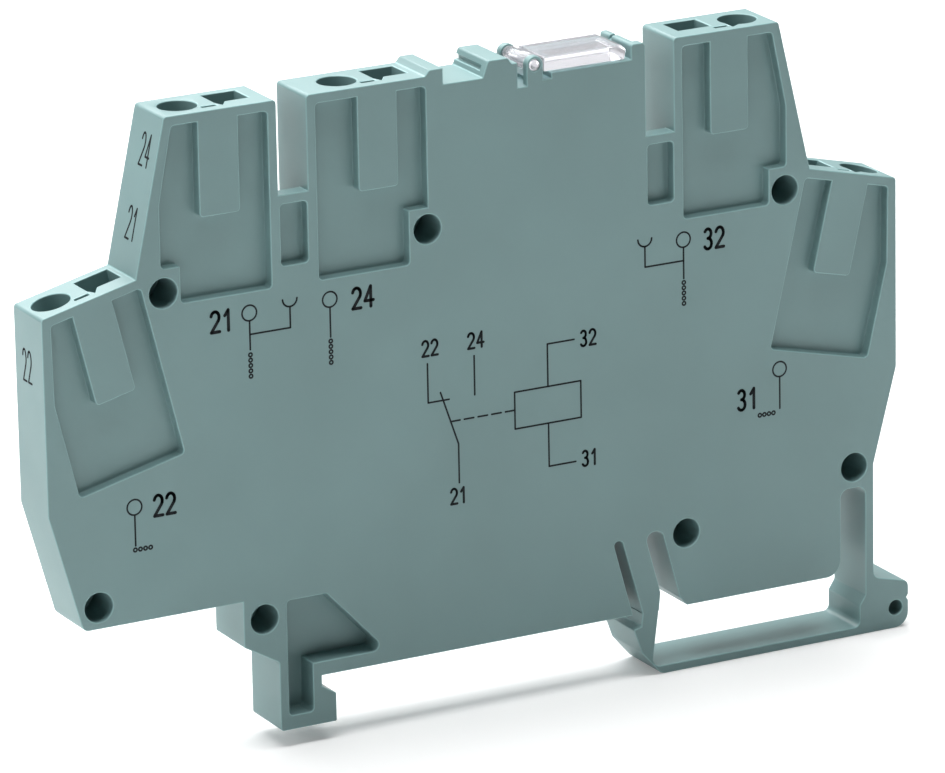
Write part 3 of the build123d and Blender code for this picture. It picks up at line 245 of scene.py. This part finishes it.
FLOOR_SIZE = 6.0
FLOOR_GAP = 0.02 * MM
FLOOR_COLOUR = (0.86, 0.86, 0.86, 1.0)
FLOOR_GLOW = 0.18
LAMP_DISTANCE = 0.55
LAMP_AIM = (0.0, 0.0, 22.0 * MM)
LAMPS = (
    ("Top light", "top_light", (0.0, 0.1, 1.0), (0.5, 0.5)),
    ("Back light", "back_light", (0.0, 0.7, 0.7), (0.5, 0.4)),
    ("Left light", "left_light", (-0.9, 0.1, 0.45), (0.35, 0.35)),
)
CAMERA_AIM = (0.12 * MM, 0.0, 22.0 * MM)
FRAME_RIGHT = -0.25 * MM
FRAME_DOWN = 2.42 * MM
SENSOR_WIDTH = 36.0
NEAREST_SEEN = 0.05
FARTHEST_SEEN = 20.0


# Shader maths

class Wire:
    """A socket of a node tree, with arithmetic that adds Math nodes."""

    def __init__(self, tree, socket):
        self.tree = tree
        self.socket = socket

    def maths(self, operation, *values):
        sockets = dict(enumerate(values))
        return self.tree.node("ShaderNodeMath", {"operation": operation}, sockets)[0]

    def __add__(self, other):
        return self.maths("ADD", self, other)

    def __radd__(self, other):
        return self.maths("ADD", other, self)

    def __mul__(self, other):
        return self.maths("MULTIPLY", self, other)

    def __rmul__(self, other):
        return self.maths("MULTIPLY", other, self)


class Finish:
    """The node tree of a material or of the world, built from plain calls."""

    def __init__(self, owner, output="ShaderNodeOutputMaterial"):
        owner.use_nodes = True
        self.owner = owner
        self.nodes = owner.node_tree.nodes
        self.links = owner.node_tree.links
        self.nodes.clear()
        self.output = self.nodes.new(output)

    def node(self, kind, settings, sockets):
        """Adds a node, sets it, fills its sockets and returns its outputs as wires."""
        node = self.nodes.new(kind)
        for key, value in settings.items():
            if key == "stops":
                self.set_stops(node.color_ramp.elements, value)
            else:
                setattr(node, key, value)
        for key, value in sockets.items():
            if isinstance(value, Wire):
                self.links.new(value.socket, node.inputs[key])
            else:
                node.inputs[key].default_value = value
        return [Wire(self, socket) for socket in node.outputs]

    def set_stops(self, elements, stops):
        """Sets a colour ramp's (position, colour) stops."""
        for element, (position, colour) in zip(elements, (stops[0], stops[-1])):
            element.position = position
            element.color = (*colour, 1.0)
        for position, colour in stops[1:-1]:
            elements.new(position).color = (*colour, 1.0)

    def ramp(self, factor, stops):
        """Colour that follows a factor through (position, colour) stops."""
        return self.node("ShaderNodeValToRGB", {"stops": stops}, {"Fac": factor})[0]

    def place(self):
        """Object coordinates, in metres."""
        return self.node("ShaderNodeTexCoord", {}, {})[OBJECT_PLACE]

    def noise(self, size, detail=3.0, roughness=0.5):
        """Noise with features of about this size in metres, from 0 to 1."""
        sockets = {"Vector": self.place(), "Scale": 1.0 / size, "Detail": detail, "Roughness": roughness}
        return self.node("ShaderNodeTexNoise", {}, sockets)[0]

    def bump(self, height, strength, distance):
        """Normal of a surface that is raised by a height."""
        sockets = {"Height": height, "Strength": strength, "Distance": distance}
        return self.node("ShaderNodeBump", {}, sockets)[0]

    def surface(self, sockets):
        """Ends the tree in one Principled shader."""
        return self.end(self.node("ShaderNodeBsdfPrincipled", {}, sockets)[0])

    def end(self, shader):
        """Links the last shader to the output and returns the material or world."""
        self.links.new(shader.socket, self.output.inputs["Surface"])
        return self.owner


def shade(colour, factor):
    """A colour made lighter or darker by a factor."""
    return tuple(min(1.0, part * factor) for part in colour)


def moulded_plastic(name, colour, roughness, grain):
    """Moulded plastic: slow colour drift, a painted highlight that lightens the rounded edges, fine grain
    and uneven gloss.
    """
    finish = Finish(bpy.data.materials.new(name))
    drift = finish.noise(14 * MM, detail=2.0)
    # Painted highlight: faces of the rounded outer edges take a base colour 1.35 to 1.45 times lighter
    edge = finish.node("ShaderNodeAttribute", {"attribute_name": EDGE_HIGHLIGHT_ATTRIBUTE}, {})[ATTRIBUTE_VALUE]
    base = finish.ramp(drift * DRIFT_AND_HIGHLIGHT_SHARE + edge * DRIFT_AND_HIGHLIGHT_SHARE, [
        (0.35 * DRIFT_AND_HIGHLIGHT_SHARE, shade(colour, 0.96)),
        (0.65 * DRIFT_AND_HIGHLIGHT_SHARE, shade(colour, 1.04)),
        # The upper two stops are the painted highlight on the rounded edges
        (1.35 * DRIFT_AND_HIGHLIGHT_SHARE, shade(colour, 1.35)),
        (1.65 * DRIFT_AND_HIGHLIGHT_SHARE, shade(colour, 1.45)),
    ])
    fine = finish.noise(grain, detail=4.0, roughness=0.6)
    smear = finish.noise(4 * MM, detail=2.0)
    gloss = smear * 0.12 + (roughness - 0.06)
    return finish.surface({
        "Base Color": base,
        "Roughness": gloss,
        "Specular IOR Level": 0.5,
        "Normal": finish.bump(fine, 0.22, 0.02 * MM),
    })


def clear_plastic(name, tint, roughness, clearness):
    """Clear plastic with faint flow marks."""
    finish = Finish(bpy.data.materials.new(name))
    flow = finish.noise(1.6 * MM, detail=1.0)
    return finish.surface({
        "Base Color": (*tint, 1.0),
        "Roughness": flow * 0.05 + roughness,
        "IOR": 1.49,
        "Transmission Weight": clearness,
        "Normal": finish.bump(flow, 0.10, 0.02 * MM),
    })


def tinted_resin(name, colour):
    """Glossy tinted resin or glass, a little cloudy."""
    finish = Finish(bpy.data.materials.new(name))
    cloud = finish.noise(0.5 * MM)
    base = finish.ramp(cloud, [(0.3, shade(colour, 0.85)), (0.7, shade(colour, 1.1))])
    return finish.surface({"Base Color": base, "Roughness": cloud * 0.1 + 0.12})


def rolled_metal(name, colour, roughness, streak):
    """Rolled or drawn metal: streaks along the strip and a slightly uneven tone."""
    finish = Finish(bpy.data.materials.new(name))
    mapping = finish.node("ShaderNodeMapping", {}, {"Vector": finish.place(), "Scale": (1.0, 12.0, 1.0)})[0]
    lines = finish.node("ShaderNodeTexNoise", {}, {
        "Vector": mapping, "Scale": 1.0 / streak, "Detail": 4.0, "Roughness": 0.6})[0]
    base = finish.ramp(lines, [(0.3, shade(colour, 0.88)), (0.7, shade(colour, 1.05))])
    return finish.surface({
        "Base Color": base,
        "Metallic": 1.0,
        "Roughness": lines * 0.18 + roughness,
        "Normal": finish.bump(lines, 0.15, 0.01 * MM),
    })


def wound_copper(name, colour):
    """Enamelled wire wound round the coil: fine rings along X."""
    finish = Finish(bpy.data.materials.new(name))
    wave = finish.node("ShaderNodeTexWave", {"bands_direction": "X"}, {
        "Vector": finish.place(), "Scale": 1.0 / (1.2 * MM), "Distortion": 0.4, "Detail": 1.0})[WAVE_VALUE]
    base = finish.ramp(wave, [(0.2, shade(colour, 0.55)), (0.7, colour)])
    return finish.surface({
        "Base Color": base, "Metallic": 0.8, "Roughness": 0.28, "Normal": finish.bump(wave, 0.5, 0.03 * MM)})


def board_laminate(name, colour):
    """Solder-masked board: woven glass under a glossy lacquer, with pale tracks."""
    finish = Finish(bpy.data.materials.new(name))
    weave = finish.noise(0.35 * MM, detail=2.0)
    tracks = finish.noise(2.4 * MM, detail=0.0)
    pale = shade(colour, 1.9)
    base = finish.ramp(tracks, [(0.44, colour), (0.47, pale), (0.52, pale), (0.55, colour)])
    return finish.surface({
        "Base Color": base, "Roughness": weave * 0.1 + 0.3, "Normal": finish.bump(weave, 0.2, 0.01 * MM)})


def printed_ink(name, colour):
    """Matt printing ink, a little uneven where it dried."""
    finish = Finish(bpy.data.materials.new(name))
    blot = finish.noise(0.3 * MM)
    base = finish.ramp(blot, [(0.3, colour), (0.75, shade(colour, 1.6))])
    return finish.surface({"Base Color": base, "Roughness": blot * 0.2 + 0.6, "Specular IOR Level": 0.12})


# Modelling helpers

def only(piece):
    """Selects one object and makes it active."""
    bpy.ops.object.select_all(action="DESELECT")
    piece.select_set(True)
    bpy.context.view_layer.objects.active = piece


def settle(piece):
    """Puts the object's place, turn and scale into its mesh."""
    only(piece)
    bpy.ops.object.transform_apply(location=True, rotation=True, scale=True)


def joined(pieces, name):
    """Joins several objects into one."""
    bpy.ops.object.select_all(action="DESELECT")
    for piece in pieces:
        piece.select_set(True)
    bpy.context.view_layer.objects.active = pieces[0]
    bpy.ops.object.join()
    result = bpy.context.object
    result.name = name
    settle(result)
    return result


def dressed_copy(node, name, radius, steps, kept_sharp=None):
    """Copy of a CAD node with merged faces and rounded edges.

    Edges for which kept_sharp(edge) is true are left as they are.
    """
    only(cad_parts[node])
    bpy.ops.object.duplicate()
    piece = bpy.context.object
    piece.name = name
    world = piece.matrix_world.copy()
    piece.parent = None
    piece.matrix_world = world
    piece.data.materials.clear()
    bpy.ops.object.mode_set(mode="EDIT")
    bpy.ops.mesh.select_all(action="SELECT")
    bpy.ops.mesh.remove_doubles(threshold=WELD)
    bpy.ops.mesh.select_all(action="DESELECT")
    bpy.ops.object.mode_set(mode="OBJECT")
    for face in piece.data.polygons:
        face.select = abs(face.center.y - SEAM_Y) > ON_SEAM
    bpy.ops.object.mode_set(mode="EDIT")
    bpy.ops.mesh.dissolve_limited(angle_limit=FLAT_ANGLE)
    bpy.ops.object.mode_set(mode="OBJECT")
    weigh_edges(piece.data, kept_sharp)
    rounding = piece.modifiers.new("Rounded edges", "BEVEL")
    rounding.width = radius
    rounding.segments = steps
    rounding.limit_method = "WEIGHT"
    rounding.use_clamp_overlap = False
    rounding.loop_slide = False
    rounding.material = ROUNDED_SLOT
    for _ in range(ROUNDED_SLOT + 1):
        piece.data.materials.append(None)
    bpy.ops.object.modifier_apply(modifier=rounding.name)
    cut_crossed_faces(piece.data)
    mark_rounded_faces(piece.data)
    bpy.ops.object.shade_smooth_by_angle(angle=SMOOTH_ANGLE)
    weighting = piece.modifiers.new("Flat faces stay flat", "WEIGHTED_NORMAL")
    weighting.keep_sharp = True
    bpy.ops.object.modifier_apply(modifier=weighting.name)
    return piece


def weigh_edges(mesh, kept_sharp):
    """Marks the sharp edges that are rounded, through the mesh's bevel weights."""
    shape = bmesh.new()
    shape.from_mesh(mesh)
    weight = shape.edges.layers.float.new("bevel_weight_edge")
    for edge in shape.edges:
        sharp = len(edge.link_faces) == 2 and edge.calc_face_angle() > SHARP_ANGLE
        left = kept_sharp is not None and kept_sharp(edge)
        edge[weight] = 1.0 if sharp and not left else 0.0
    shape.to_mesh(mesh)
    shape.free()


def mark_rounded_faces(mesh):
    """Writes which faces the rounding made on outer edges as the attribute through which the plastic paints
    a highlight on them.
    """
    shape = bmesh.new()
    shape.from_mesh(mesh)
    outer = [
        face.material_index == ROUNDED_SLOT
        and sum(edge.calc_face_angle_signed(0.0) for edge in face.edges) > 0.0
        for face in shape.faces
    ]
    shape.free()
    mark = mesh.attributes.new(EDGE_HIGHLIGHT_ATTRIBUTE, "FLOAT", "FACE")
    for face in mesh.polygons:
        mark.data[face.index].value = float(outer[face.index])
        face.material_index = 0
    mesh.materials.clear()


def hidden_in_housing(edge):
    """True for edges in the cover's seam and round the ceilings of the chambers."""
    in_seam = all(abs(end.co.y - SEAM_Y) < ON_SEAM for end in edge.verts)
    skin = HOUSING_HIGH[1] - SKIN
    ceilings = [
        face for face in edge.link_faces
        if face.normal.z < CEILING_NORMAL_Z and all(abs(corner.co.y) < skin for corner in face.verts)
    ]
    return in_seam or bool(ceilings)


def hidden_in_cover(edge):
    """True for edges of the rear cover that don't lie in its outer face."""
    return any(end.co.y < HOUSING_HIGH[1] - SKIN for end in edge.verts)


def cut_crossed_faces(mesh):
    """Cuts the faces whose outline crosses itself beside a rounded edge into triangles."""
    mesh.calc_loop_triangles()
    cut_area = [0.0] * len(mesh.polygons)
    for triangle in mesh.loop_triangles:
        cut_area[triangle.polygon_index] += triangle.area
    shape = bmesh.new()
    shape.from_mesh(mesh)
    shape.faces.ensure_lookup_table()
    crossed = [face for face in shape.faces if cut_area[face.index] > face.calc_area() + CROSSED_AREA]
    for face in crossed:
        turn = face.normal.rotation_difference(Vector((0, 0, 1)))
        back = turn.inverted()
        flat = [turn @ corner.co for corner in face.verts]
        level = sum(point.z for point in flat) / len(flat)
        outline = [point.xy for point in flat]
        loop = [list(range(len(outline)))]
        points, _, triangles, _, _, _ = delaunay_2d_cdt(outline, [], loop, 1, CUT_NEARNESS)
        corners = [shape.verts.new(back @ Vector((*point, level))) for point in points]
        for triangle in triangles:
            shape.faces.new([corners[index] for index in triangle])
        shape.faces.remove(face)
    bmesh.ops.remove_doubles(shape, verts=shape.verts, dist=CUT_WELD)
    shape.to_mesh(mesh)
    shape.free()


def paint(piece, material):
    """Gives a piece its one material."""
    piece.data.materials.clear()
    piece.data.materials.append(material)


# Print: places in millimetres across and up a printed face

def arc(centre, radius, start, end, steps=10):
    """Points along an arc, with its angles in degrees from the right."""
    angles = [math.radians(start + (end - start) * index / steps) for index in range(steps + 1)]
    return [(centre[0] + radius * math.cos(angle), centre[1] + radius * math.sin(angle)) for angle in angles]


def figure_strokes(figure):
    """Pen strokes of a plain figure from 1 to 4 that is one unit high and stands on zero."""
    if figure == "1":
        return [[(0.10, 0.74), (0.34, 1.0), (0.34, 0.0)]]
    if figure == "2":
        return [arc((0.28, 0.72), 0.28, 165, -38) + [(0.0, 0.0), (0.58, 0.0)]]
    if figure == "3":
        return [arc((0.27, 0.76), 0.24, 150, -90), arc((0.27, 0.26), 0.27, 90, -150)]
    return [[(0.42, 0.0), (0.42, 1.0), (0.0, 0.30), (0.60, 0.30)]]


class Print:
    """Collects the lines, rings and numbers of one printed drawing."""

    def __init__(self, sizes):
        self.width = sizes.print_width
        self.height = sizes.print_height
        self.pieces = []
        self.face = self.facing(Vector((0, FRONT_Y, 0)), Vector((1, 0, 0)), Vector((0, 0, 1)))

    def facing(self, origin, across, up):
        """Frame of a printed face: X across it, Z up it and Y into it."""
        axes = Matrix((across, up.cross(across), up)).transposed()
        return Matrix.Translation(origin) @ axes.to_4x4()

    def keep(self, placing):
        """Puts the new object on the printed face and remembers it."""
        piece = bpy.context.object
        piece.matrix_world = self.face @ placing
        self.pieces.append(piece)

    def dot(self, place, width):
        """A round spot, which also closes the ends and bends of a line."""
        bpy.ops.mesh.primitive_cylinder_add(vertices=16, radius=width / 2, depth=2 * self.height)
        centre = Vector((place[0] * MM, 0, place[1] * MM))
        self.keep(Matrix.Translation(centre) @ Matrix.Rotation(math.pi / 2, 4, "X"))

    def path(self, points, width=None):
        """A printed line with round ends and bends."""
        width = width or self.width
        for start, end in zip(points, points[1:]):
            first = Vector((start[0] * MM, 0, start[1] * MM))
            run = Vector((end[0] * MM, 0, end[1] * MM)) - first
            bpy.ops.mesh.primitive_cube_add(size=1.0)
            turn = Matrix.Rotation(-math.atan2(run.z, run.x), 4, "Y")
            size = Matrix.Diagonal((run.length, 2 * self.height, width, 1.0))
            self.keep(Matrix.Translation(first + run / 2) @ turn @ size)
        for place in points:
            self.dot(place, width)

    def ring(self, centre, radius):
        """A small printed circle."""
        bpy.ops.mesh.primitive_torus_add(
            major_radius=radius * MM, minor_radius=self.width / 2, major_segments=32, minor_segments=8)
        flat = Matrix.Diagonal((1.0, 1.0, 2 * self.height / self.width, 1.0))
        middle = Vector((centre[0] * MM, 0, centre[1] * MM))
        self.keep(Matrix.Translation(middle) @ Matrix.Rotation(math.pi / 2, 4, "X") @ flat)

    def cup(self, place, radius, foot):
        """A plug contact: an open half circle on a stem."""
        self.path(arc(place, radius, 180, 360))
        self.path([(place[0], place[1] - radius), (place[0], foot)])

    def dots(self, start, end, count):
        """A row of small rings that stands for a continued line."""
        for index in range(count):
            share = index / (count - 1)
            x = start[0] + (end[0] - start[0]) * share
            z = start[1] + (end[1] - start[1]) * share
            self.ring((x, z), DOT_RADIUS)

    def number(self, text, place, size, slim=WIDE, weight=THICK):
        """A printed number whose lower left corner lies at a place."""
        for index, figure in enumerate(text):
            left = place[0] + index * ADVANCE * slim * size
            for stroke in figure_strokes(figure):
                points = [(left + x * slim * size, place[1] + z * size) for x, z in stroke]
                self.path(points, weight * size * MM)

    def done(self, name):
        """Joins all that was printed into one piece."""
        return joined(self.pieces, name)


class RELAY_OT_housing(bpy.types.Operator):
    """Dress the moulded housing and its rear cover with rounded edges and plastic grain"""

    bl_idname = "relay.housing"
    bl_label = "Housing"

    def execute(self, context):
        sizes = context.scene.relay_sizes
        look = context.scene.relay_finish
        plastic = moulded_plastic(
            "Housing plastic", look.plastic_colour, look.plastic_roughness, look.grain_size)
        shells = (
            ("housing", "housing_plastic", hidden_in_housing),
            ("rear_cover", "cover_plastic", hidden_in_cover),
        )
        for node, slot, kept_sharp in shells:
            piece = dressed_copy(node, "moulded_" + node, sizes.edge_radius, sizes.edge_steps, kept_sharp)
            paint(piece, plastic)
            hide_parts(node)
            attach(piece, "module")
        return {"FINISHED"}


class RELAY_OT_marker_cover(bpy.types.Operator):
    """Dress the clear hinged cover"""

    bl_idname = "relay.marker_cover"
    bl_label = "Marker cover"

    def execute(self, context):
        sizes = context.scene.relay_sizes
        look = context.scene.relay_finish
        piece = dressed_copy("marker_cover", "clear_marker_cover", sizes.lid_edge_radius, sizes.edge_steps)
        plastic = clear_plastic("Clear plastic", look.cover_tint, look.cover_roughness, look.cover_clearness)
        paint(piece, plastic)
        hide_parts("marker_cover")
        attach(piece, "marker_lid")
        return {"FINISHED"}


class RELAY_OT_print(bpy.types.Operator):
    """Print the terminal numbers and the circuit drawing"""

    bl_idname = "relay.print"
    bl_label = "Print"

    def execute(self, context):
        sizes = context.scene.relay_sizes
        drawing = Print(sizes)
        self.terminals(drawing, sizes.figure_height / MM)
        self.circuit(drawing, SMALL * sizes.figure_height / MM)
        self.left_faces(drawing, sizes.side_figure_height / MM)
        piece = drawing.done("printed_marks")
        paint(piece, printed_ink("Printing ink", context.scene.relay_finish.ink_colour))
        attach(piece, "module")
        return {"FINISHED"}

    def terminals(self, drawing, size):
        """The rings, plugs, dotted ends and numbers beside the terminals."""
        for x, z, foot in RING_STEMS:
            drawing.ring((x, z), RING_RADIUS)
            drawing.path([(x, z - RING_RADIUS), (x, foot)])
        for ring_x, plug_x in PLUG_BRANCHES:
            drawing.path([(ring_x, BRANCH_UP), (plug_x, BRANCH_UP)])
            drawing.cup((plug_x, PLUG_UP), RING_RADIUS, BRANCH_UP)
        for x, top in DOTS_DOWN:
            drawing.dots((x, top), (x, top - DOTS_DOWN_LENGTH), DOTS_DOWN_COUNT)
        for start, end in DOTS_ACROSS:
            drawing.dots(start, end, DOTS_ACROSS_COUNT)
        for number, x, z in TERMINAL_NUMBERS:
            drawing.number(number, (x, z), size)

    def circuit(self, drawing, size):
        """The change-over contact, the coil and their numbers."""
        for line in CONTACT_LINES:
            drawing.path(line)
        for step in range(DASH_COUNT):
            left = DASH_START + DASH_STEP * step
            drawing.path([(left, DASH_UP), (left + DASH_LENGTH, DASH_UP)])
        for line in COIL_LINES:
            drawing.path(line)
        for number, x, z in CIRCUIT_NUMBERS:
            drawing.number(number, (x, z), size)

    def left_faces(self, drawing, size):
        """Slim numbers on the left end face and on the tall tower's flank."""
        across = Vector((0, -1, 0))
        drawing.face = drawing.facing(Vector((HOUSING_LOW[0], 0, 0)), across, Vector((0, 0, 1)))
        number, x, z = END_NUMBER
        drawing.number(number, (x, z), size, SLIM, THIN)
        up = (Vector(FLANK_TOP) - Vector(FLANK_FOOT)).normalized()
        drawing.face = drawing.facing(MM * Vector(FLANK_FOOT), across, up)
        for number, x, z in FLANK_NUMBERS:
            drawing.number(number, (x, z), size, SLIM, THIN)


class RELAY_OT_inside(bpy.types.Operator):
    """Finish the clamps, bars, board and relay inside the housing"""

    bl_idname = "relay.inside"
    bl_label = "Inside parts"

    def execute(self, context):
        look = context.scene.relay_finish
        steel = rolled_metal("Spring steel", (0.60, 0.60, 0.61), 0.22, 0.8 * MM)
        tin = rolled_metal("Tinned copper", (0.70, 0.69, 0.66), 0.30, 1.2 * MM)
        brass = rolled_metal("Contact brass", (0.72, 0.52, 0.24), 0.26, 0.8 * MM)
        iron = rolled_metal("Plated iron", (0.48, 0.48, 0.49), 0.34, 1.5 * MM)
        black = moulded_plastic("Relay plastic", (0.03, 0.03, 0.034), 0.38, 0.2 * MM)
        cream = moulded_plastic("Bobbin plastic", (0.62, 0.58, 0.46), 0.45, 0.2 * MM)
        finishes = {
            "relay_base": black,
            "relay_case": black,
            "relay_yoke": iron,
            "relay_core": iron,
            "armature": iron,
            "coil_bobbin": cream,
            "actuator_card": cream,
            "coil_winding": wound_copper("Enamelled copper", (0.62, 0.24, 0.09)),
            "coil_pins": tin,
            "contact_spring": brass,
            "spring_root": brass,
            "nc_contact": brass,
            "no_contact": brass,
            "circuit_board": board_laminate("Board laminate", (0.02, 0.12, 0.05)),
            "status_led": tinted_resin("Status light resin", look.lamp_colour),
            "light_guide": clear_plastic("Light guide plastic", (0.96, 0.95, 0.97), 0.02, 1.0),
            "chip_resistors": moulded_plastic("Chip ceramic", (0.02, 0.02, 0.022), 0.3, 0.1 * MM),
            "diode": tinted_resin("Diode glass", (0.35, 0.07, 0.03)),
        }
        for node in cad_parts:
            if node.startswith("clamp_spring"):
                finishes[node] = steel
            elif node.startswith("current_bar"):
                finishes[node] = tin
        for node, finish in finishes.items():
            only(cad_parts[node])
            paint(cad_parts[node], finish)
        return {"FINISHED"}


class RELAY_OT_stage(bpy.types.Operator):
    """Set up the floor, the lights and the camera"""

    bl_idname = "relay.stage"
    bl_label = "Stage"

    def execute(self, context):
        studio = context.scene.relay_studio
        self.floor()
        self.world(context.scene, studio)
        for name, power, direction, size in LAMPS:
            self.lamp(name, getattr(studio, power), direction, size)
        self.camera(context.scene, studio)
        return {"FINISHED"}

    def floor(self):
        """A pale floor that looks white and still takes the object's shadow."""
        bpy.ops.mesh.primitive_plane_add(size=FLOOR_SIZE, location=(0, 0, FLOOR_Z - FLOOR_GAP))
        floor = bpy.context.object
        floor.name = "floor"
        settle(floor)
        finish = Finish(bpy.data.materials.new("Studio floor"))
        path = finish.node("ShaderNodeLightPath", {}, {})
        seen = path[CAMERA_RAY] + path[GLOSSY_RAY] + path[TRANSMISSION_RAY]
        drift = finish.noise(0.4, detail=1.0)
        tone = finish.ramp(drift, [(0.0, (1.0, 1.0, 1.0)), (1.0, (0.995, 0.995, 1.0))])
        paper = finish.node("ShaderNodeBsdfDiffuse", {}, {"Color": FLOOR_COLOUR, "Roughness": 0.5})[0]
        glow = finish.node("ShaderNodeEmission", {}, {"Color": tone, "Strength": FLOOR_GLOW})[0]
        both = finish.node("ShaderNodeAddShader", {}, {0: paper, 1: glow})[0]
        paint(floor, finish.end(finish.node("ShaderNodeMixShader", {}, {0: seen, 1: paper, 2: both})[0]))

    def world(self, scene, studio):
        """White for the camera and through clear plastic, a share of it in gloss, and a faint fill."""
        scene.world = bpy.data.worlds.new("Studio")
        finish = Finish(scene.world, "ShaderNodeOutputWorld")
        path = finish.node("ShaderNodeLightPath", {}, {})
        shown = path[CAMERA_RAY] + path[TRANSMISSION_RAY] + path[GLOSSY_RAY] * studio.sheen
        white = {"Color": (1.0, 1.0, 1.0, 1.0)}
        faint = finish.node("ShaderNodeBackground", {}, {**white, "Strength": studio.fill_light})[0]
        full = finish.node("ShaderNodeBackground", {}, {**white, "Strength": 1.0})[0]
        finish.end(finish.node("ShaderNodeMixShader", {}, {0: shown, 1: faint, 2: full})[0])

    def lamp(self, name, power, direction, size):
        """A soft rectangular light that shines at the object from a direction."""
        way = Vector(direction).normalized()
        bpy.ops.object.light_add(type="AREA", location=Vector(LAMP_AIM) + way * LAMP_DISTANCE)
        lamp = bpy.context.object
        lamp.name = name
        lamp.rotation_euler = way.to_track_quat("Z", "Y").to_euler()
        lamp.data.shape = "RECTANGLE"
        lamp.data.size = size[0]
        lamp.data.size_y = size[1]
        lamp.data.energy = power

    def camera(self, scene, studio):
        """The camera at the photograph's angle."""
        turn = studio.azimuth
        fall = studio.elevation
        ahead = Vector((math.sin(turn) * math.cos(fall), math.cos(turn) * math.cos(fall), -math.sin(fall)))
        level = Vector((math.cos(turn), -math.sin(turn), 0.0))
        below = ahead.cross(level)
        right = level * math.cos(studio.roll) + below * math.sin(studio.roll)
        down = below * math.cos(studio.roll) - level * math.sin(studio.roll)
        place = Vector(CAMERA_AIM) - right * FRAME_RIGHT - down * FRAME_DOWN - ahead * studio.distance
        bpy.ops.object.camera_add(location=place)
        camera = bpy.context.object
        camera.name = "Camera"
        axes = Matrix((right, -down, -ahead)).transposed()
        camera.matrix_world = Matrix.Translation(place) @ axes.to_4x4()
        camera.data.sensor_width = SENSOR_WIDTH
        camera.data.lens = studio.lens
        camera.data.clip_start = NEAREST_SEEN
        camera.data.clip_end = FARTHEST_SEEN
        scene.camera = camera


class RELAY_PT_panel(bpy.types.Panel):
    """Lists the steps that dress the relay module"""

    bl_idname = "RELAY_PT_panel"
    bl_label = "Relay module"
    bl_space_type = "VIEW_3D"
    bl_region_type = "UI"
    bl_category = "Relay module"

    def draw(self, context):
        for group in ("relay_sizes", "relay_finish", "relay_studio"):
            settings = getattr(context.scene, group)
            box = self.layout.box()
            for key in settings.__annotations__:
                box.prop(settings, key)
        for step in STEPS:
            self.layout.operator(step.bl_idname)


GROUPS = {"relay_sizes": RelaySizes, "relay_finish": RelayFinish, "relay_studio": RelayStudio}
STEPS = (RELAY_OT_housing, RELAY_OT_marker_cover, RELAY_OT_inside, RELAY_OT_print, RELAY_OT_stage)
CLASSES = (*GROUPS.values(), *STEPS, RELAY_PT_panel)


def register():
    for entry in CLASSES:
        bpy.utils.register_class(entry)
    for name, group in GROUPS.items():
        setattr(bpy.types.Scene, name, PointerProperty(type=group))


def unregister():
    for name in GROUPS:
        delattr(bpy.types.Scene, name)
    for entry in reversed(CLASSES):
        bpy.utils.unregister_class(entry)


def main():
    register()
    bpy.context.scene.view_settings.view_transform = "Standard"
    bpy.ops.relay.housing()
    bpy.ops.relay.marker_cover()
    bpy.ops.relay.inside()
    bpy.ops.relay.print()
    bpy.ops.relay.stage()


if __name__ == "__main__":
    main()
